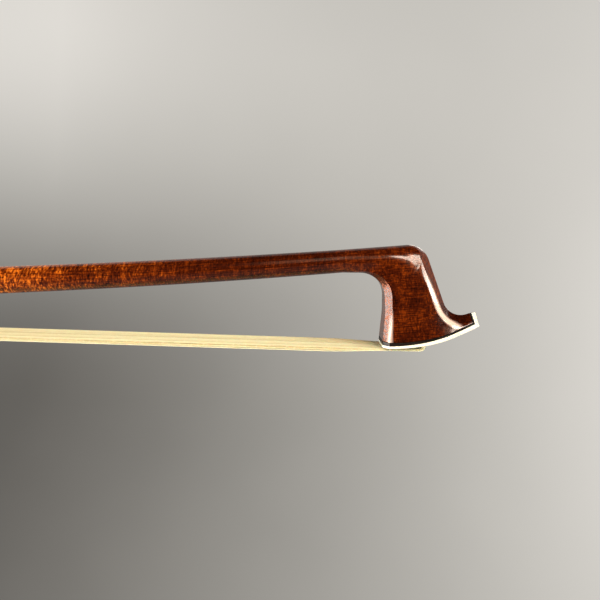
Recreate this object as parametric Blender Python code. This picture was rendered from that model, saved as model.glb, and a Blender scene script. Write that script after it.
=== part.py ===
"""A viola bow in metres. +X runs from the button to the head, and +Z from the hair to the stick."""

import math

import bmesh
import bpy
from mathutils import Matrix, Vector

# Clearances
SEAT_GAP = 0.0002
GLUE_GAP = 0.0001
RUN_GAP = 0.00015
FACE_GAP = 0.0003

# How far a cutting shape runs past the faces that it cuts
OVERRUN = 0.001

# Stick: an octagonal handle, then a round stick that tapers by a logarithmic law
HANDLE_FLATS = 0.0090
HANDLE_LENGTH = 0.112
ROUND_BUTT_DIAMETER = 0.0089
TIP_DIAMETER = 0.00545
TAPER_OFFSET = 0.072
ROUNDING_LENGTH = 0.012
CAMBER_START = 0.130
CAMBER_RISE = 0.0395
CAMBER_POWER = 2.5
HAIR_LENGTH = 0.6475

# Head, in its own plane: X along the hair from the throat's foot to the nose, Z up from the plate
JOIN_BACK = 0.0105
JOIN_HEIGHT = 0.0207
THROAT_WAIST = (0.0004, 0.0082)
THROAT_CORNER = (-0.0001, 0.0181)
THROAT_RADIUS = 0.0059
UNDERSIDE_KNEE = (-0.0085, 0.0179)
UNDERSIDE_RADIUS = 0.015
WAIST_RADIUS = 0.020
CROWN_CORNER = (0.00935, 0.02565)
CROWN_RADIUS = 0.0056
NOSE_CORNER = (0.0171, 0.00676)
NOSE_RADIUS = 0.0046
BEAK_FOOT = 0.0239
BEAK_TOP = (0.0234, 0.0089)
FOOT_TANGENT = 0.0008
FOOT_RADIUS = 0.0485
HEAD_HALF_WIDTH = 0.0054
CHEEK_SLOPE = 0.068
NOSE_TAPER_START = 0.006
NOSE_TAPER_END = 0.0187
NOSE_TAPER = 0.30
NOSE_TAPER_POWER = 3.0
THROAT_CHAMFER = 0.0016
CHEEK_EDGE_START = (0.0074, 0.0219)
CHEEK_EDGE_CORNER = (0.0138, 0.0065)
CHEEK_EDGE_RADIUS = 0.0100
FACET_EDGE_START = (0.0083, 0.0222)
FACET_EDGE_CORNER = (0.0169, 0.0038)
FACET_EDGE_RADIUS = 0.0058
FACET_HALF_WIDTH = 0.0031
BEAK_HALF_WIDTH = 0.0020
BEAK_BASE_HALF_WIDTH = 0.0027
BEAK_SHOULDER = 0.15

# Tip plate and its liner, bent along the foot of the head
PLATE_THICKNESS = 0.00095
PLATE_BACK_THICKNESS = 0.00055
LINER_THICKNESS = 0.00035

# Head mortise, its plug and the knot of the hair
HEAD_MORTISE_START = 0.0029
HEAD_MORTISE_LENGTH = 0.0082
HEAD_MORTISE_WIDTH = 0.0086
HEAD_MORTISE_HEIGHT = 0.0088
HEAD_MORTISE_TUCK = 0.0006
HEAD_PLUG_HEIGHT = 0.0036
HEAD_PLUG_RELIEF = 0.0009
KNOT_RADIUS = 0.0018

# A knot's shape: places along it as shares of its length, each with a share of its radius
KNOT_PROFILE = (
    (-0.5, 0.72), (-0.4, 1.0), (-0.1, 1.0), (-0.06, 0.86),
    (0.06, 0.86), (0.1, 1.0), (0.4, 1.0), (0.5, 0.72),
)

# Hair ribbon
HAIR_THICKNESS = 0.00078
HAIR_LOOSE_THICKNESS = 0.00145
HAIR_WIDTH_HEAD = 0.0117
HAIR_WIDTH_FROG = 0.0121
HAIR_WIDTH_MORTISE = 0.0078
HAIR_SPREAD = 0.014
HAIR_HEAD_BEND = 0.0012
HAIR_FROG_BEND = 0.0008
HAIR_STEP_BEND = 0.0015
HAIR_STEP_LENGTH = 0.0026

# Button: ebony core between a collar and a cap
BUTTON_LENGTH = 0.0145
BUTTON_FLATS = 0.0088
BUTTON_WAIST_FLATS = 0.0084
BUTTON_CAP_LENGTH = 0.0036
BUTTON_COLLAR_LENGTH = 0.0035
BUTTON_EDGE = 0.0004
BUTTON_TENON_DIAMETER = 0.0062
BUTTON_TENON_LENGTH = 0.0015
CAP_END_THICKNESS = 0.0011

# Nipple, screw, bore and eyelet
NIPPLE_DIAMETER = 0.0062
NIPPLE_LENGTH = 0.0009
SCREW_DIAMETER = 0.0029
SCREW_COLLAR_DIAMETER = 0.0039
SCREW_COLLAR_LENGTH = 0.0125
SCREW_REACH = 0.088
SCREW_END_ROOM = 0.003
SCREW_TAIL = 0.0035
BORE_CLEARANCE = 0.0003
THREAD_CLEARANCE = 0.0002
EYELET_LENGTH = 0.0062
EYELET_WIDTH = 0.0046
EYELET_BELOW = 0.0041
EYELET_ABOVE = 0.0023
EYELET_SHANK_DIAMETER = 0.0034
EYELET_SHANK_END = 0.0118
FROG_TRAVEL_BACK = 0.006
FROG_TRAVEL_FORWARD = 0.002

# Frog, measured from its back end at rest; depths are below the handle's axis
FROG_REAR = 0.0225
FROG_LENGTH = 0.046
FROG_DEPTH = 0.0250
FROG_TOP_WIDTH = 0.0099
FROG_EDGE_DEPTH = 0.0085
FROG_BASE_WIDTH = 0.0134
FROG_BASE_CHAMFER = 0.0006
FROG_BASE_SIDE = 0.0020
EYELET_PLACE = 0.019
THUMB_GAP_CENTRE = (0.0337, 0.0138)
THUMB_GAP_RADIUS = 0.0045
THUMB_ROOF = 0.004
CREST_THICKNESS = 0.0042
CREST_ROUND = 0.0012
UNDERSLIDE_THICKNESS = 0.0004
UNDERSLIDE_SCREW_DIAMETER = 0.0014
UNDERSLIDE_SCREW_LENGTH = 0.0030
UNDERSLIDE_SCREW_PLACES = (0.0066, 0.0358)

# Ferrule and tongue
FERRULE_LENGTH = 0.0116
FERRULE_WALL = 0.0005
FERRULE_HEIGHT = 0.0066
FERRULE_SIDE = 0.0024
FERRULE_EDGE = 0.0004
WEDGE_LENGTH = 0.0058
WEDGE_RELIEF = 0.0003

# Slide with its pearl, heel plate and its pins
SLIDE_HALF_WIDTH = 0.0044
SLIDE_DOVETAIL = 0.0005
SLIDE_THICKNESS = 0.0024
PEARL_THICKNESS = 0.0009
SLIDE_FRONT_TONGUE = 0.0030
HEEL_LENGTH = 0.0090
HEEL_HEIGHT = 0.0170
HEEL_THICKNESS = 0.0008
HEEL_PIN_DIAMETER = 0.0010
HEEL_PIN_LENGTH = 0.0036
HEEL_SOLE_PINS = (0.0065, 0.0043)
HEEL_BACK_PINS = (0.0135, 0.0028)

# Frog mortise, knot and plug
FROG_MORTISE_START = 0.0185
FROG_MORTISE_LENGTH = 0.0085
FROG_MORTISE_WIDTH = 0.0080
FROG_MORTISE_HEIGHT = 0.0068
HAIR_CHANNEL_HEIGHT = 0.0011
HAIR_CHANNEL_WIDTH = 0.0103
FROG_PLUG_HEIGHT = 0.0023

# Eyes: a pearl disc in a silver ring on each side
EYE_PLACE = (0.0150, 0.0140)
EYE_PEARL_DIAMETER = 0.0064
EYE_RING_DIAMETER = 0.0082
EYE_THICKNESS = 0.0008

# Thumb leather and lapping
LEATHER_START = 0.0745
LEATHER_LENGTH = 0.034
LEATHER_THICKNESS = 0.0013
LEATHER_EDGE = 0.0007
LEATHER_SKIVE = 0.0025
LAPPING_LENGTH = 0.072
LAPPING_THICKNESS = 0.0004

# Counts
SECTION_SIDES = 32
ROUND_SIDES = 24
STICK_RINGS = 24
ROUNDING_RINGS = 6
HEAD_RINGS = 26
HAIR_RINGS = 16
BEND_STEPS = 5
THUMB_GAP_STEPS = 12
LEATHER_RINGS = 14
LAPPING_RINGS = 12
HALF = SECTION_SIDES // 2

# Columns of a head section: the edges of the throat flat and cheek, the foot's front corner, and
# the edge of the nose facet
FLAT_EDGE = 2
CHEEK_START = 3
CHEEK_END = 11
FOOT_CORNER = 13
FACET_EDGE = 14

SMOOTH_ANGLE = math.radians(24)
EIGHTH_TURN = math.radians(45)

COLOURS = {
    "pernambuco": ((0.20, 0.045, 0.015), 0.30, 0.0),
    "bone": ((0.90, 0.88, 0.80), 0.35, 0.0),
    "ebony": ((0.012, 0.010, 0.009), 0.35, 0.0),
    "silver": ((0.80, 0.79, 0.76), 0.25, 1.0),
    "brass": ((0.72, 0.53, 0.22), 0.35, 1.0),
    "steel": ((0.50, 0.51, 0.52), 0.35, 1.0),
    "pearl": ((0.78, 0.80, 0.78), 0.20, 0.0),
    "maple": ((0.72, 0.55, 0.35), 0.60, 0.0),
    "horsehair": ((0.80, 0.74, 0.52), 0.50, 0.0),
    "leather": ((0.035, 0.022, 0.018), 0.60, 0.0),
}


# Small helpers
def clear_scene():
    for old in list(bpy.data.objects):
        bpy.data.objects.remove(old)


def material(kind):
    found = bpy.data.materials.get(kind)
    if found:
        return found
    colour, roughness, metallic = COLOURS[kind]
    made = bpy.data.materials.new(kind)
    made.use_nodes = True
    shader = made.node_tree.nodes["Principled BSDF"]
    shader.inputs["Base Color"].default_value = (*colour, 1.0)
    shader.inputs["Roughness"].default_value = roughness
    shader.inputs["Metallic"].default_value = metallic
    return made


def finish_mesh(name, bm, kind, parent=None):
    """Turns a bmesh into a named object with its material, smooth but for its real edges."""
    bmesh.ops.remove_doubles(bm, verts=bm.verts, dist=1e-7)
    bmesh.ops.recalc_face_normals(bm, faces=bm.faces)
    mesh = bpy.data.meshes.new(name)
    bm.to_mesh(mesh)
    bm.free()
    mesh.shade_smooth()
    mesh.set_sharp_from_angle(angle=SMOOTH_ANGLE)
    made = bpy.data.objects.new(name, mesh)
    bpy.context.collection.objects.link(made)
    if kind:
        mesh.materials.append(material(kind))
    if parent:
        made.parent = parent
    return made


def empty(name, place):
    made = bpy.data.objects.new(name, None)
    bpy.context.collection.objects.link(made)
    made.location = place
    return made


def loft(rings):
    """A closed body through rings of equally many points, with a flat cap at each end."""
    bm = bmesh.new()
    rows = [[bm.verts.new(point) for point in ring] for ring in rings]
    for row, after in zip(rows, rows[1:]):
        for i in range(len(row)):
            j = (i + 1) % len(row)
            bm.faces.new((row[i], row[j], after[j], after[i]))
    bm.faces.new(rows[0])
    bm.faces.new(rows[-1])
    return bm


def along_x(outline, start, end):
    """A prism along X from an outline of (y, z) points."""
    return loft([[Vector((x, y, z)) for y, z in outline] for x in (start, end)])


def across_y(outline, half_width):
    """A prism along Y from an outline of (x, z) points."""
    return loft([[Vector((x, y, z)) for x, z in outline] for y in (-half_width, half_width)])


def box(low, high):
    (x0, y0, z0), (x1, y1, z1) = low, high
    return along_x([(y0, z0), (y1, z0), (y1, z1), (y0, z1)], x0, x1)


def disc_points(radius, sides=ROUND_SIDES):
    turn = math.tau / sides
    return [(radius * math.sin(i * turn), -radius * math.cos(i * turn)) for i in range(sides)]


def turned(profile, sides=ROUND_SIDES):
    """A solid turned round the X axis through (x, radius) points."""
    return loft([[Vector((x, y, z)) for y, z in disc_points(r, sides)] for x, r in profile])


def octagonal(profile):
    """An octagonal bar along X through (x, across flats) points, with flats at top and sides."""
    rings = []
    for x, flats in profile:
        corner = flats / 2 / math.cos(EIGHTH_TURN / 2)
        angles = [EIGHTH_TURN * (i + 0.5) for i in range(8)]
        rings.append([Vector((x, corner * math.sin(a), -corner * math.cos(a))) for a in angles])
    return loft(rings)


def cut(target, name, bm, operation="DIFFERENCE"):
    """Cuts the target with a tool shape, which stays in the file as a wire guide."""
    tool = finish_mesh(name, bm, None, target.parent)
    tool.hide_render = True
    tool.display_type = "WIRE"
    step = target.modifiers.new(name, "BOOLEAN")
    step.operation = operation
    step.solver = "EXACT"
    step.object = tool


def ease(value, start, end):
    """Goes smoothly from 0 at start to 1 at end."""
    t = min(max((value - start) / (end - start), 0.0), 1.0)
    return t * t * (3 - 2 * t)


def mix(a, b, share):
    return a + (b - a) * share


def rounded_path(corners, radii, arc_steps=10):
    """A path through 2-D corners, with each inner corner replaced by an arc of its radius."""
    points = [Vector(corners[0])]
    for before, corner, after, radius in zip(corners, corners[1:], corners[2:], radii):
        corner = Vector(corner)
        back = (Vector(before) - corner).normalized()
        on = (Vector(after) - corner).normalized()
        half = back.angle(on) / 2
        reach = radius / math.tan(half)
        middle = corner + (back + on).normalized() * radius / math.sin(half)
        start = corner + back * reach - middle
        sweep = start.angle_signed(corner + on * reach - middle)
        for i in range(arc_steps + 1):
            turn = Matrix.Rotation(-sweep * i / arc_steps, 2)
            points.append(middle + turn @ start)
    points.append(Vector(corners[-1]))
    return points


class Path:
    """A polyline that gives the point at a share of its length."""

    def __init__(self, points):
        self.points = points
        self.ends = [0.0]
        for a, b in zip(points, points[1:]):
            self.ends.append(self.ends[-1] + (b - a).length)

    @property
    def length(self):
        return self.ends[-1]

    def at(self, distance):
        distance = min(max(distance, 0.0), self.length)
        for i, end in enumerate(self.ends[1:]):
            if distance <= end:
                share = (distance - self.ends[i]) / max(end - self.ends[i], 1e-12)
                return self.points[i].lerp(self.points[i + 1], share)
        return self.points[-1].copy()


# Places that follow from the sizes above
APOTHEM = HANDLE_FLATS / 2
STICK_END = BUTTON_LENGTH + FACE_GAP
HANDLE_END = STICK_END + HANDLE_LENGTH
FROG_SHOULDER = THUMB_GAP_CENTRE[0]
FERRULE_START = FROG_SHOULDER + SEAT_GAP
FERRULE_MOUTH = FERRULE_START + FERRULE_LENGTH
HAIR_DEPTH = FROG_DEPTH - FERRULE_WALL - SEAT_GAP - HAIR_THICKNESS / 2
HAIR_START = Vector((FROG_REAR + FERRULE_MOUTH, -HAIR_DEPTH))
HAIR_BELOW_PLATE = HAIR_THICKNESS / 2 + GLUE_GAP
HEAD_MORTISE_END = HEAD_MORTISE_START + HEAD_MORTISE_LENGTH
SLIDE_TOP = FROG_DEPTH - SLIDE_THICKNESS
CHANNEL_TOP = SLIDE_TOP - HAIR_CHANNEL_HEIGHT
WOOD_DEPTH = PLATE_THICKNESS + LINER_THICKNESS + 2 * GLUE_GAP
LAPPING_START = LEATHER_START + LEATHER_LENGTH + SEAT_GAP


def hair_angle():
    """The hair's rise over the handle's axis, from the place where the stick meets the head."""
    along = HAIR_LENGTH - JOIN_BACK
    up = JOIN_HEIGHT + HAIR_BELOW_PLATE
    rise = CAMBER_RISE + HAIR_DEPTH
    return math.asin(rise / math.hypot(along, up)) - math.atan2(up, along)


HAIR_ANGLE = hair_angle()


def turned_up(point, angle=HAIR_ANGLE):
    x, z = point
    return Vector((x * math.cos(angle) - z * math.sin(angle), x * math.sin(angle) + z * math.cos(angle)))


HEAD_ORIGIN = HAIR_START + turned_up((HAIR_LENGTH, HAIR_BELOW_PLATE))
JOIN = HEAD_ORIGIN + turned_up((-JOIN_BACK, JOIN_HEIGHT))


def head_point(x, y, z):
    """From the head's own plane to the bow's frame."""
    flat = HEAD_ORIGIN + turned_up((x, z))
    return Vector((flat.x, y, flat.y))


# Stick
def centre_height(x):
    share = max((x - CAMBER_START) / (JOIN.x - CAMBER_START), 0.0)
    return CAMBER_RISE * share**CAMBER_POWER


def centre_angle(x):
    share = max((x - CAMBER_START) / (JOIN.x - CAMBER_START), 0.0)
    return math.atan(CAMBER_RISE * CAMBER_POWER / (JOIN.x - CAMBER_START) * share ** (CAMBER_POWER - 1))


def stick_radius(x):
    """The logarithmic taper, from the end of the handle to the head."""
    from_head = max(HEAD_ORIGIN.x - x, 0.0)
    whole = HEAD_ORIGIN.x - HANDLE_END
    share = math.log((from_head + TAPER_OFFSET) / TAPER_OFFSET)
    share /= math.log((whole + TAPER_OFFSET) / TAPER_OFFSET)
    return mix(TIP_DIAMETER, ROUND_BUTT_DIAMETER, share) / 2


def octagon_reach(angle):
    """How far an octagon of apothem 1 reaches at an angle from the middle of a flat."""
    off = (angle + EIGHTH_TURN / 2) % EIGHTH_TURN - EIGHTH_TURN / 2
    return 1 / math.cos(off)


def stick_section(x, proud=0.0):
    """The stick's section at x, made larger all round by proud."""
    roundness = ease(x, HANDLE_END - ROUNDING_LENGTH, HANDLE_END)
    tilt = centre_angle(x)
    points = []
    for i in range(SECTION_SIDES):
        angle = math.tau * i / SECTION_SIDES
        flat_reach = (APOTHEM + proud) * octagon_reach(angle)
        reach = mix(flat_reach, stick_radius(x) + proud, roundness)
        across, up = reach * math.sin(angle), -reach * math.cos(angle)
        points.append(Vector((x - up * math.sin(tilt), across, centre_height(x) + up * math.cos(tilt))))
    return points


def sleeve(name, kind, start, end, steps, inner, outer_at):
    """A sleeve round the stick, whose outer surface stands proud by outer_at(x)."""
    places = [mix(start, end, i / steps) for i in range(steps + 1)]
    outside = [stick_section(x, outer_at(x)) for x in places]
    inside = [stick_section(x, inner) for x in reversed(places)]
    bm = bmesh.new()
    rows = [[bm.verts.new(p) for p in ring] for ring in outside + inside]
    for row, after in zip(rows, rows[1:] + rows[:1]):
        for i in range(SECTION_SIDES):
            j = (i + 1) % SECTION_SIDES
            bm.faces.new((row[i], row[j], after[j], after[i]))
    return finish_mesh(name, bm, kind)


# Head
def foot_height(x):
    """Height of the plate's outer face over the hair's direction, on its long arc."""
    run = max(x - FOOT_TANGENT, 0.0)
    return FOOT_RADIUS - math.sqrt(FOOT_RADIUS**2 - run**2)


def foot_slope(x):
    run = max(x - FOOT_TANGENT, 0.0)
    return math.asin(run / FOOT_RADIUS)


def foot_corner(depth):
    """Where the foot's arc meets the beak's front, depth below the plate's outer faces."""
    outer = Vector((BEAK_FOOT, foot_height(BEAK_FOOT)))
    lean = (Vector(BEAK_TOP) - outer).normalized()
    slope = foot_slope(BEAK_FOOT)
    along = Vector((math.cos(slope), math.sin(slope)))
    half = (math.pi - along.angle(lean)) / 2
    inward = (lean - along).normalized()
    return outer + inward * depth / math.sin(half), lean


def foot_profile(depth):
    """Points in the head's plane, one for each column, depth inside the plate's outer faces."""
    corner, lean = foot_corner(depth)
    points = []
    for column in range(FOOT_CORNER):
        if column <= FLAT_EDGE:
            x = 0.0
        elif column <= CHEEK_END:
            share = (column - CHEEK_START) / (CHEEK_END - CHEEK_START)
            x = mix(THROAT_CHAMFER, NOSE_TAPER_END, share)
        else:
            share = (column - CHEEK_END) / (FOOT_CORNER - CHEEK_END)
            x = mix(NOSE_TAPER_END, corner.x, share)
        slope = foot_slope(x)
        x += throat_lean(depth) if column <= FLAT_EDGE else -depth * math.sin(slope)
        points.append(Vector((x, foot_height(x) + depth * math.cos(slope))))
    top = Vector(BEAK_TOP) - Vector((lean.y, -lean.x)) * depth
    rise = [corner.lerp(top, share) for share in (0.0, BEAK_SHOULDER, (1 + BEAK_SHOULDER) / 2, 1.0)]
    return points + rise


def throat_lean(height):
    """How far the throat stands in front of its foot at a height."""
    return THROAT_WAIST[0] * min(height / THROAT_WAIST[1], 1.0)


def nose_taper(x):
    share = max(x - NOSE_TAPER_START, 0.0) / (NOSE_TAPER_END - NOSE_TAPER_START)
    return 1 - NOSE_TAPER * share**NOSE_TAPER_POWER


def cheek(x, z):
    """Half the head's width at a place on the cheek."""
    return (HEAD_HALF_WIDTH - CHEEK_SLOPE * z) * nose_taper(x)


def foot_widths(depth):
    """Half widths of the foot, one for each column."""
    points = foot_profile(depth)
    widths = [cheek(point.x, point.y) for point in points]
    flat = widths[CHEEK_START] - THROAT_CHAMFER
    for column in range(FLAT_EDGE + 1):
        widths[column] = flat * column / FLAT_EDGE
    edge = widths[CHEEK_END]
    for column in range(CHEEK_END + 1, FOOT_CORNER + 1):
        share = (column - CHEEK_END) / (FOOT_CORNER - CHEEK_END)
        widths[column] = mix(edge, BEAK_BASE_HALF_WIDTH, share)
    widths[FACET_EDGE:] = [BEAK_HALF_WIDTH, BEAK_HALF_WIDTH / 2, 0.0]
    return widths


def head_paths():
    """The throat's and the ridge's curves in the head's plane, from the stick to the foot."""
    tilt = centre_angle(JOIN.x) - HAIR_ANGLE
    radius = stick_radius(JOIN.x)
    offset = Vector((-math.sin(tilt), math.cos(tilt))) * radius
    middle = Vector((-JOIN_BACK, JOIN_HEIGHT))
    wood = foot_profile(WOOD_DEPTH)
    throat = rounded_path(
        [middle - offset, UNDERSIDE_KNEE, THROAT_CORNER, THROAT_WAIST, wood[0]],
        [UNDERSIDE_RADIUS, THROAT_RADIUS, WAIST_RADIUS],
    )
    ridge = rounded_path([middle + offset, CROWN_CORNER, NOSE_CORNER, wood[-1]], [CROWN_RADIUS, NOSE_RADIUS])
    return Path(throat), Path(ridge)


# Shares of the way through the head: the throat's and the crown's arcs, where a section turns from
# round to faceted, where the facets narrow to the beak, and where the beak bends to the foot
THROAT_SPAN = (0.20, 0.52)
CROWN_SPAN = (0.34, 0.56)
THROAT_FACING = (0.16, 0.42)
CROWN_FACING = (0.38, 0.60)
CHEEK_FACING = (0.44, 0.74)
LINE_FACING = (THROAT_FACING, THROAT_FACING, CHEEK_FACING, CROWN_FACING, CROWN_FACING)
FACET_SPAN = (0.66, 1.0)
BEAK_BEND = (0.86, 1.0)
FOOT_BEND = (0.52, 1.0)


def station(v, path, spans, lengths):
    """The place on a path for a share v, with stretches of known length between the spans."""
    marks = [0.0, *spans, 1.0]
    ends = [0.0, *lengths, path.length]
    for low, high, start, end in zip(marks, marks[1:], ends, ends[1:]):
        if v <= high:
            return path.at(mix(start, end, (v - low) / (high - low)))
    return path.at(path.length)


def arc_places(path, corner, radius):
    """Lengths along a path at which it enters and leaves the arc at a corner."""
    near = [i for i, p in enumerate(path.points) if (p - Vector(corner)).length < radius * 1.6]
    return path.ends[near[0]], path.ends[near[-1]]


def follow(path, v, ridge_at):
    """An edge line of the nose: it starts beside the crown's end and runs to the foot."""
    start = CROWN_SPAN[1]
    if v <= start:
        return path.at(0.0) + ridge_at(v) - ridge_at(start)
    return path.at(path.length * (v - start) / (1 - start))


class HeadLines:
    """The head's five lines in its own plane: throat, throat chamfer, cheek edge, facet edge, ridge."""

    def __init__(self):
        self.throat, self.ridge = head_paths()
        self.throat_arc = arc_places(self.throat, THROAT_CORNER, THROAT_RADIUS)
        self.crown_arc = arc_places(self.ridge, CROWN_CORNER, CROWN_RADIUS)
        self.foot = foot_profile(WOOD_DEPTH)
        self.foot_half = foot_widths(WOOD_DEPTH)
        cheek_line = [CHEEK_EDGE_START, CHEEK_EDGE_CORNER, self.foot[CHEEK_END]]
        facet_line = [FACET_EDGE_START, FACET_EDGE_CORNER, self.foot[FACET_EDGE]]
        self.cheek_edge = Path(rounded_path(cheek_line, [CHEEK_EDGE_RADIUS]))
        self.facet_edge = Path(rounded_path(facet_line, [FACET_EDGE_RADIUS]))

    def ridge_at(self, v):
        return station(v, self.ridge, CROWN_SPAN, self.crown_arc)

    def throat_at(self, v):
        return station(v, self.throat, THROAT_SPAN, self.throat_arc)

    def chamfer_at(self, v):
        ahead = self.throat_at(v + 0.01) if v < 0.99 else self.throat_at(v)
        behind = self.throat_at(v - 0.01)
        along = (ahead - behind).normalized()
        inward = Vector((-along.y, along.x))
        forward = inward.lerp(Vector((1.0, 0.0)), ease(v, *FOOT_BEND))
        return self.throat_at(v) + forward * THROAT_CHAMFER * ease(v, *THROAT_FACING)

    def at(self, v):
        """The places of the five lines at a share v."""
        edges = [follow(path, v, self.ridge_at) for path in (self.cheek_edge, self.facet_edge)]
        return [self.throat_at(v), self.chamfer_at(v), *edges, self.ridge_at(v)]


def between_lines(column, values):
    """The value at a column, from the values on the five lines."""
    stops = (FLAT_EDGE, CHEEK_START, CHEEK_END, FACET_EDGE, HALF)
    if column <= FLAT_EDGE:
        return values[0]
    for low, high, a, b in zip(stops, stops[1:], values, values[1:]):
        if column <= high:
            return a + (b - a) * ((column - low) / (high - low))
    return values[-1]


def facet_width(v, full):
    """Half widths on the five lines: the facets widen as the section turns from round to flat."""
    front = mix(FACET_HALF_WIDTH, BEAK_HALF_WIDTH, ease(v, *FACET_SPAN))
    return [full - THROAT_CHAMFER, full, full, min(front, full), 0.0]


def head_section(v, lines):
    """Half of the head's section at a share v of the way from the stick to the foot."""
    now, last = lines.at(v), lines.at(1.0)
    facings = [ease(v, *span) for span in LINE_FACING]
    swell = ease(v, 0.0, CROWN_SPAN[1])
    points = []
    for column in range(HALF + 1):
        angle = math.pi * column / HALF
        facing = between_lines(column, facings)
        bend = ease(v, *(FOOT_BEND if column <= CHEEK_END else BEAK_BEND))
        rounded = now[0].lerp(now[-1], (1 - math.cos(angle)) / 2)
        place = rounded.lerp(between_lines(column, now), facing)
        place += bend * (lines.foot[column] - between_lines(column, last))
        full = mix(stick_radius(JOIN.x), cheek(place.x, place.y), swell)
        flat = between_lines(column, facet_width(v, full))
        if column < FLAT_EDGE:
            flat *= column / FLAT_EDGE
        half = mix(full * math.sin(angle), flat, facing)
        points.append((place, mix(half, lines.foot_half[column], bend)))
    return points


def closed_ring(half_points):
    """Both sides of a head section, in the order of the stick's sections."""
    right = [head_point(p.x, half, p.y) for p, half in half_points]
    left = [head_point(p.x, -half, p.y) for p, half in reversed(half_points[1:-1])]
    return right + left


def ladder(bm, row):
    """Closes a ring with strips between its two sides, so that the face follows the arc."""
    count = len(row)
    bm.faces.new(row[:CHEEK_START + 1] + row[-CHEEK_START:])
    for i in range(CHEEK_START, count // 2):
        corners = [row[i], row[i + 1], row[(count - i - 1) % count], row[(count - i) % count]]
        kept = list(dict.fromkeys(corners))
        bm.faces.new(kept)


def stick_rings():
    end = STICK_END - NIPPLE_LENGTH
    nipple = [Vector((end, y, z)) for y, z in disc_points(NIPPLE_DIAMETER / 2, SECTION_SIDES)]
    shoulder = [Vector((STICK_END, p.y, p.z)) for p in nipple]
    rings = [nipple, shoulder, stick_section(STICK_END)]
    start = HANDLE_END - ROUNDING_LENGTH
    rings += [stick_section(mix(start, HANDLE_END, i / ROUNDING_RINGS)) for i in range(ROUNDING_RINGS + 1)]
    rings += [stick_section(mix(HANDLE_END, JOIN.x, i / STICK_RINGS)) for i in range(1, STICK_RINGS)]
    return rings


def head_rings():
    lines = HeadLines()
    return [closed_ring(head_section(i / HEAD_RINGS, lines)) for i in range(HEAD_RINGS + 1)]


def make_stick():
    bm = bmesh.new()
    rings = stick_rings() + head_rings()
    rows = [[bm.verts.new(point) for point in ring] for ring in rings]
    for row, after in zip(rows, rows[1:]):
        for i in range(SECTION_SIDES):
            j = (i + 1) % SECTION_SIDES
            bm.faces.new((row[i], row[j], after[j], after[i]))
    bm.faces.new(rows[0])
    ladder(bm, rows[-1])
    stick = finish_mesh("stick", bm, "pernambuco")
    cut(stick, "stick_collar_bore", collar_bore())
    cut(stick, "stick_screw_bore", screw_bore())
    cut(stick, "stick_eyelet_slot", eyelet_slot())
    cut(stick, "stick_head_mortise", head_mortise(GLUE_GAP))


def collar_bore():
    radius = SCREW_COLLAR_DIAMETER / 2 + BORE_CLEARANCE
    depth = STICK_END + SCREW_COLLAR_LENGTH + BORE_CLEARANCE
    return turned([(STICK_END - BUTTON_LENGTH / 2, radius), (depth, radius)])


def screw_bore():
    radius = SCREW_DIAMETER / 2 + BORE_CLEARANCE
    return turned([(STICK_END, radius), (SCREW_REACH + SCREW_END_ROOM, radius)])


def eyelet_slot():
    """The slot under the handle, long enough for the eyelet's whole travel."""
    middle = FROG_REAR + EYELET_PLACE
    back = middle - EYELET_LENGTH / 2 - FROG_TRAVEL_BACK - 2 * FACE_GAP
    front = middle + EYELET_LENGTH / 2 + FROG_TRAVEL_FORWARD + 2 * FACE_GAP
    half = EYELET_WIDTH / 2 + FACE_GAP
    return box((back, -half, -HANDLE_FLATS), (front, half, EYELET_ABOVE + 2 * FACE_GAP))


def head_mortise(clearance):
    """The pocket for the knot in the foot of the head, a little narrower at its roof."""
    start = HEAD_MORTISE_START - clearance
    end = HEAD_MORTISE_END + clearance
    rings = []
    for height, tuck in ((-PLATE_THICKNESS, 0.0), (HEAD_MORTISE_HEIGHT, HEAD_MORTISE_TUCK)):
        back = start + tuck
        half = HEAD_MORTISE_WIDTH / 2 + clearance - tuck
        corners = [(back, -half), (end, -half), (end, half), (back, half)]
        rings.append([head_point(x, y, height) for x, y in corners])
    return loft(rings)


def foot_sheet(name, kind, outer, inner):
    """A sheet bent along the foot of the head, between an outer and an inner depth for each column."""
    bm = bmesh.new()
    rows = []
    for depths in (outer, inner):
        half_points = []
        for column, depth in enumerate(depths):
            half_points.append((foot_profile(depth)[column], foot_widths(depth)[column]))
        rows.append([bm.verts.new(point) for point in closed_ring(half_points)])
    for i in range(SECTION_SIDES):
        j = (i + 1) % SECTION_SIDES
        bm.faces.new((rows[0][i], rows[0][j], rows[1][j], rows[1][i]))
    for row in rows:
        ladder(bm, row)
    sheet = finish_mesh(name, bm, kind)
    cut(sheet, name + "_opening", head_mortise(0.0))


def make_tip():
    """The plate thins from the beak to the throat, and the liner fills what it leaves."""
    plate = []
    for column in range(HALF + 1):
        share = min(max((column - CHEEK_START) / (CHEEK_END - CHEEK_START), 0.0), 1.0)
        plate.append(mix(PLATE_BACK_THICKNESS, PLATE_THICKNESS, share))
    foot_sheet("tip_plate", "bone", [0.0] * len(plate), plate)
    liner = [depth + GLUE_GAP for depth in plate]
    foot_sheet("tip_plate_liner", "ebony", liner, [WOOD_DEPTH - GLUE_GAP] * len(plate))


# Hair, its knots and plugs
def head_hair_path():
    """The hair's middle line from the knot to the plate's throat edge, in the head's plane."""
    wall = HEAD_MORTISE_END - SEAT_GAP - HAIR_THICKNESS / 2
    below = -HAIR_BELOW_PLATE
    corners = [(wall, foot_height(wall) + HEAD_PLUG_HEIGHT), (wall, below), (0.0, below)]
    return rounded_path(corners, [HAIR_HEAD_BEND], BEND_STEPS)


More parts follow.
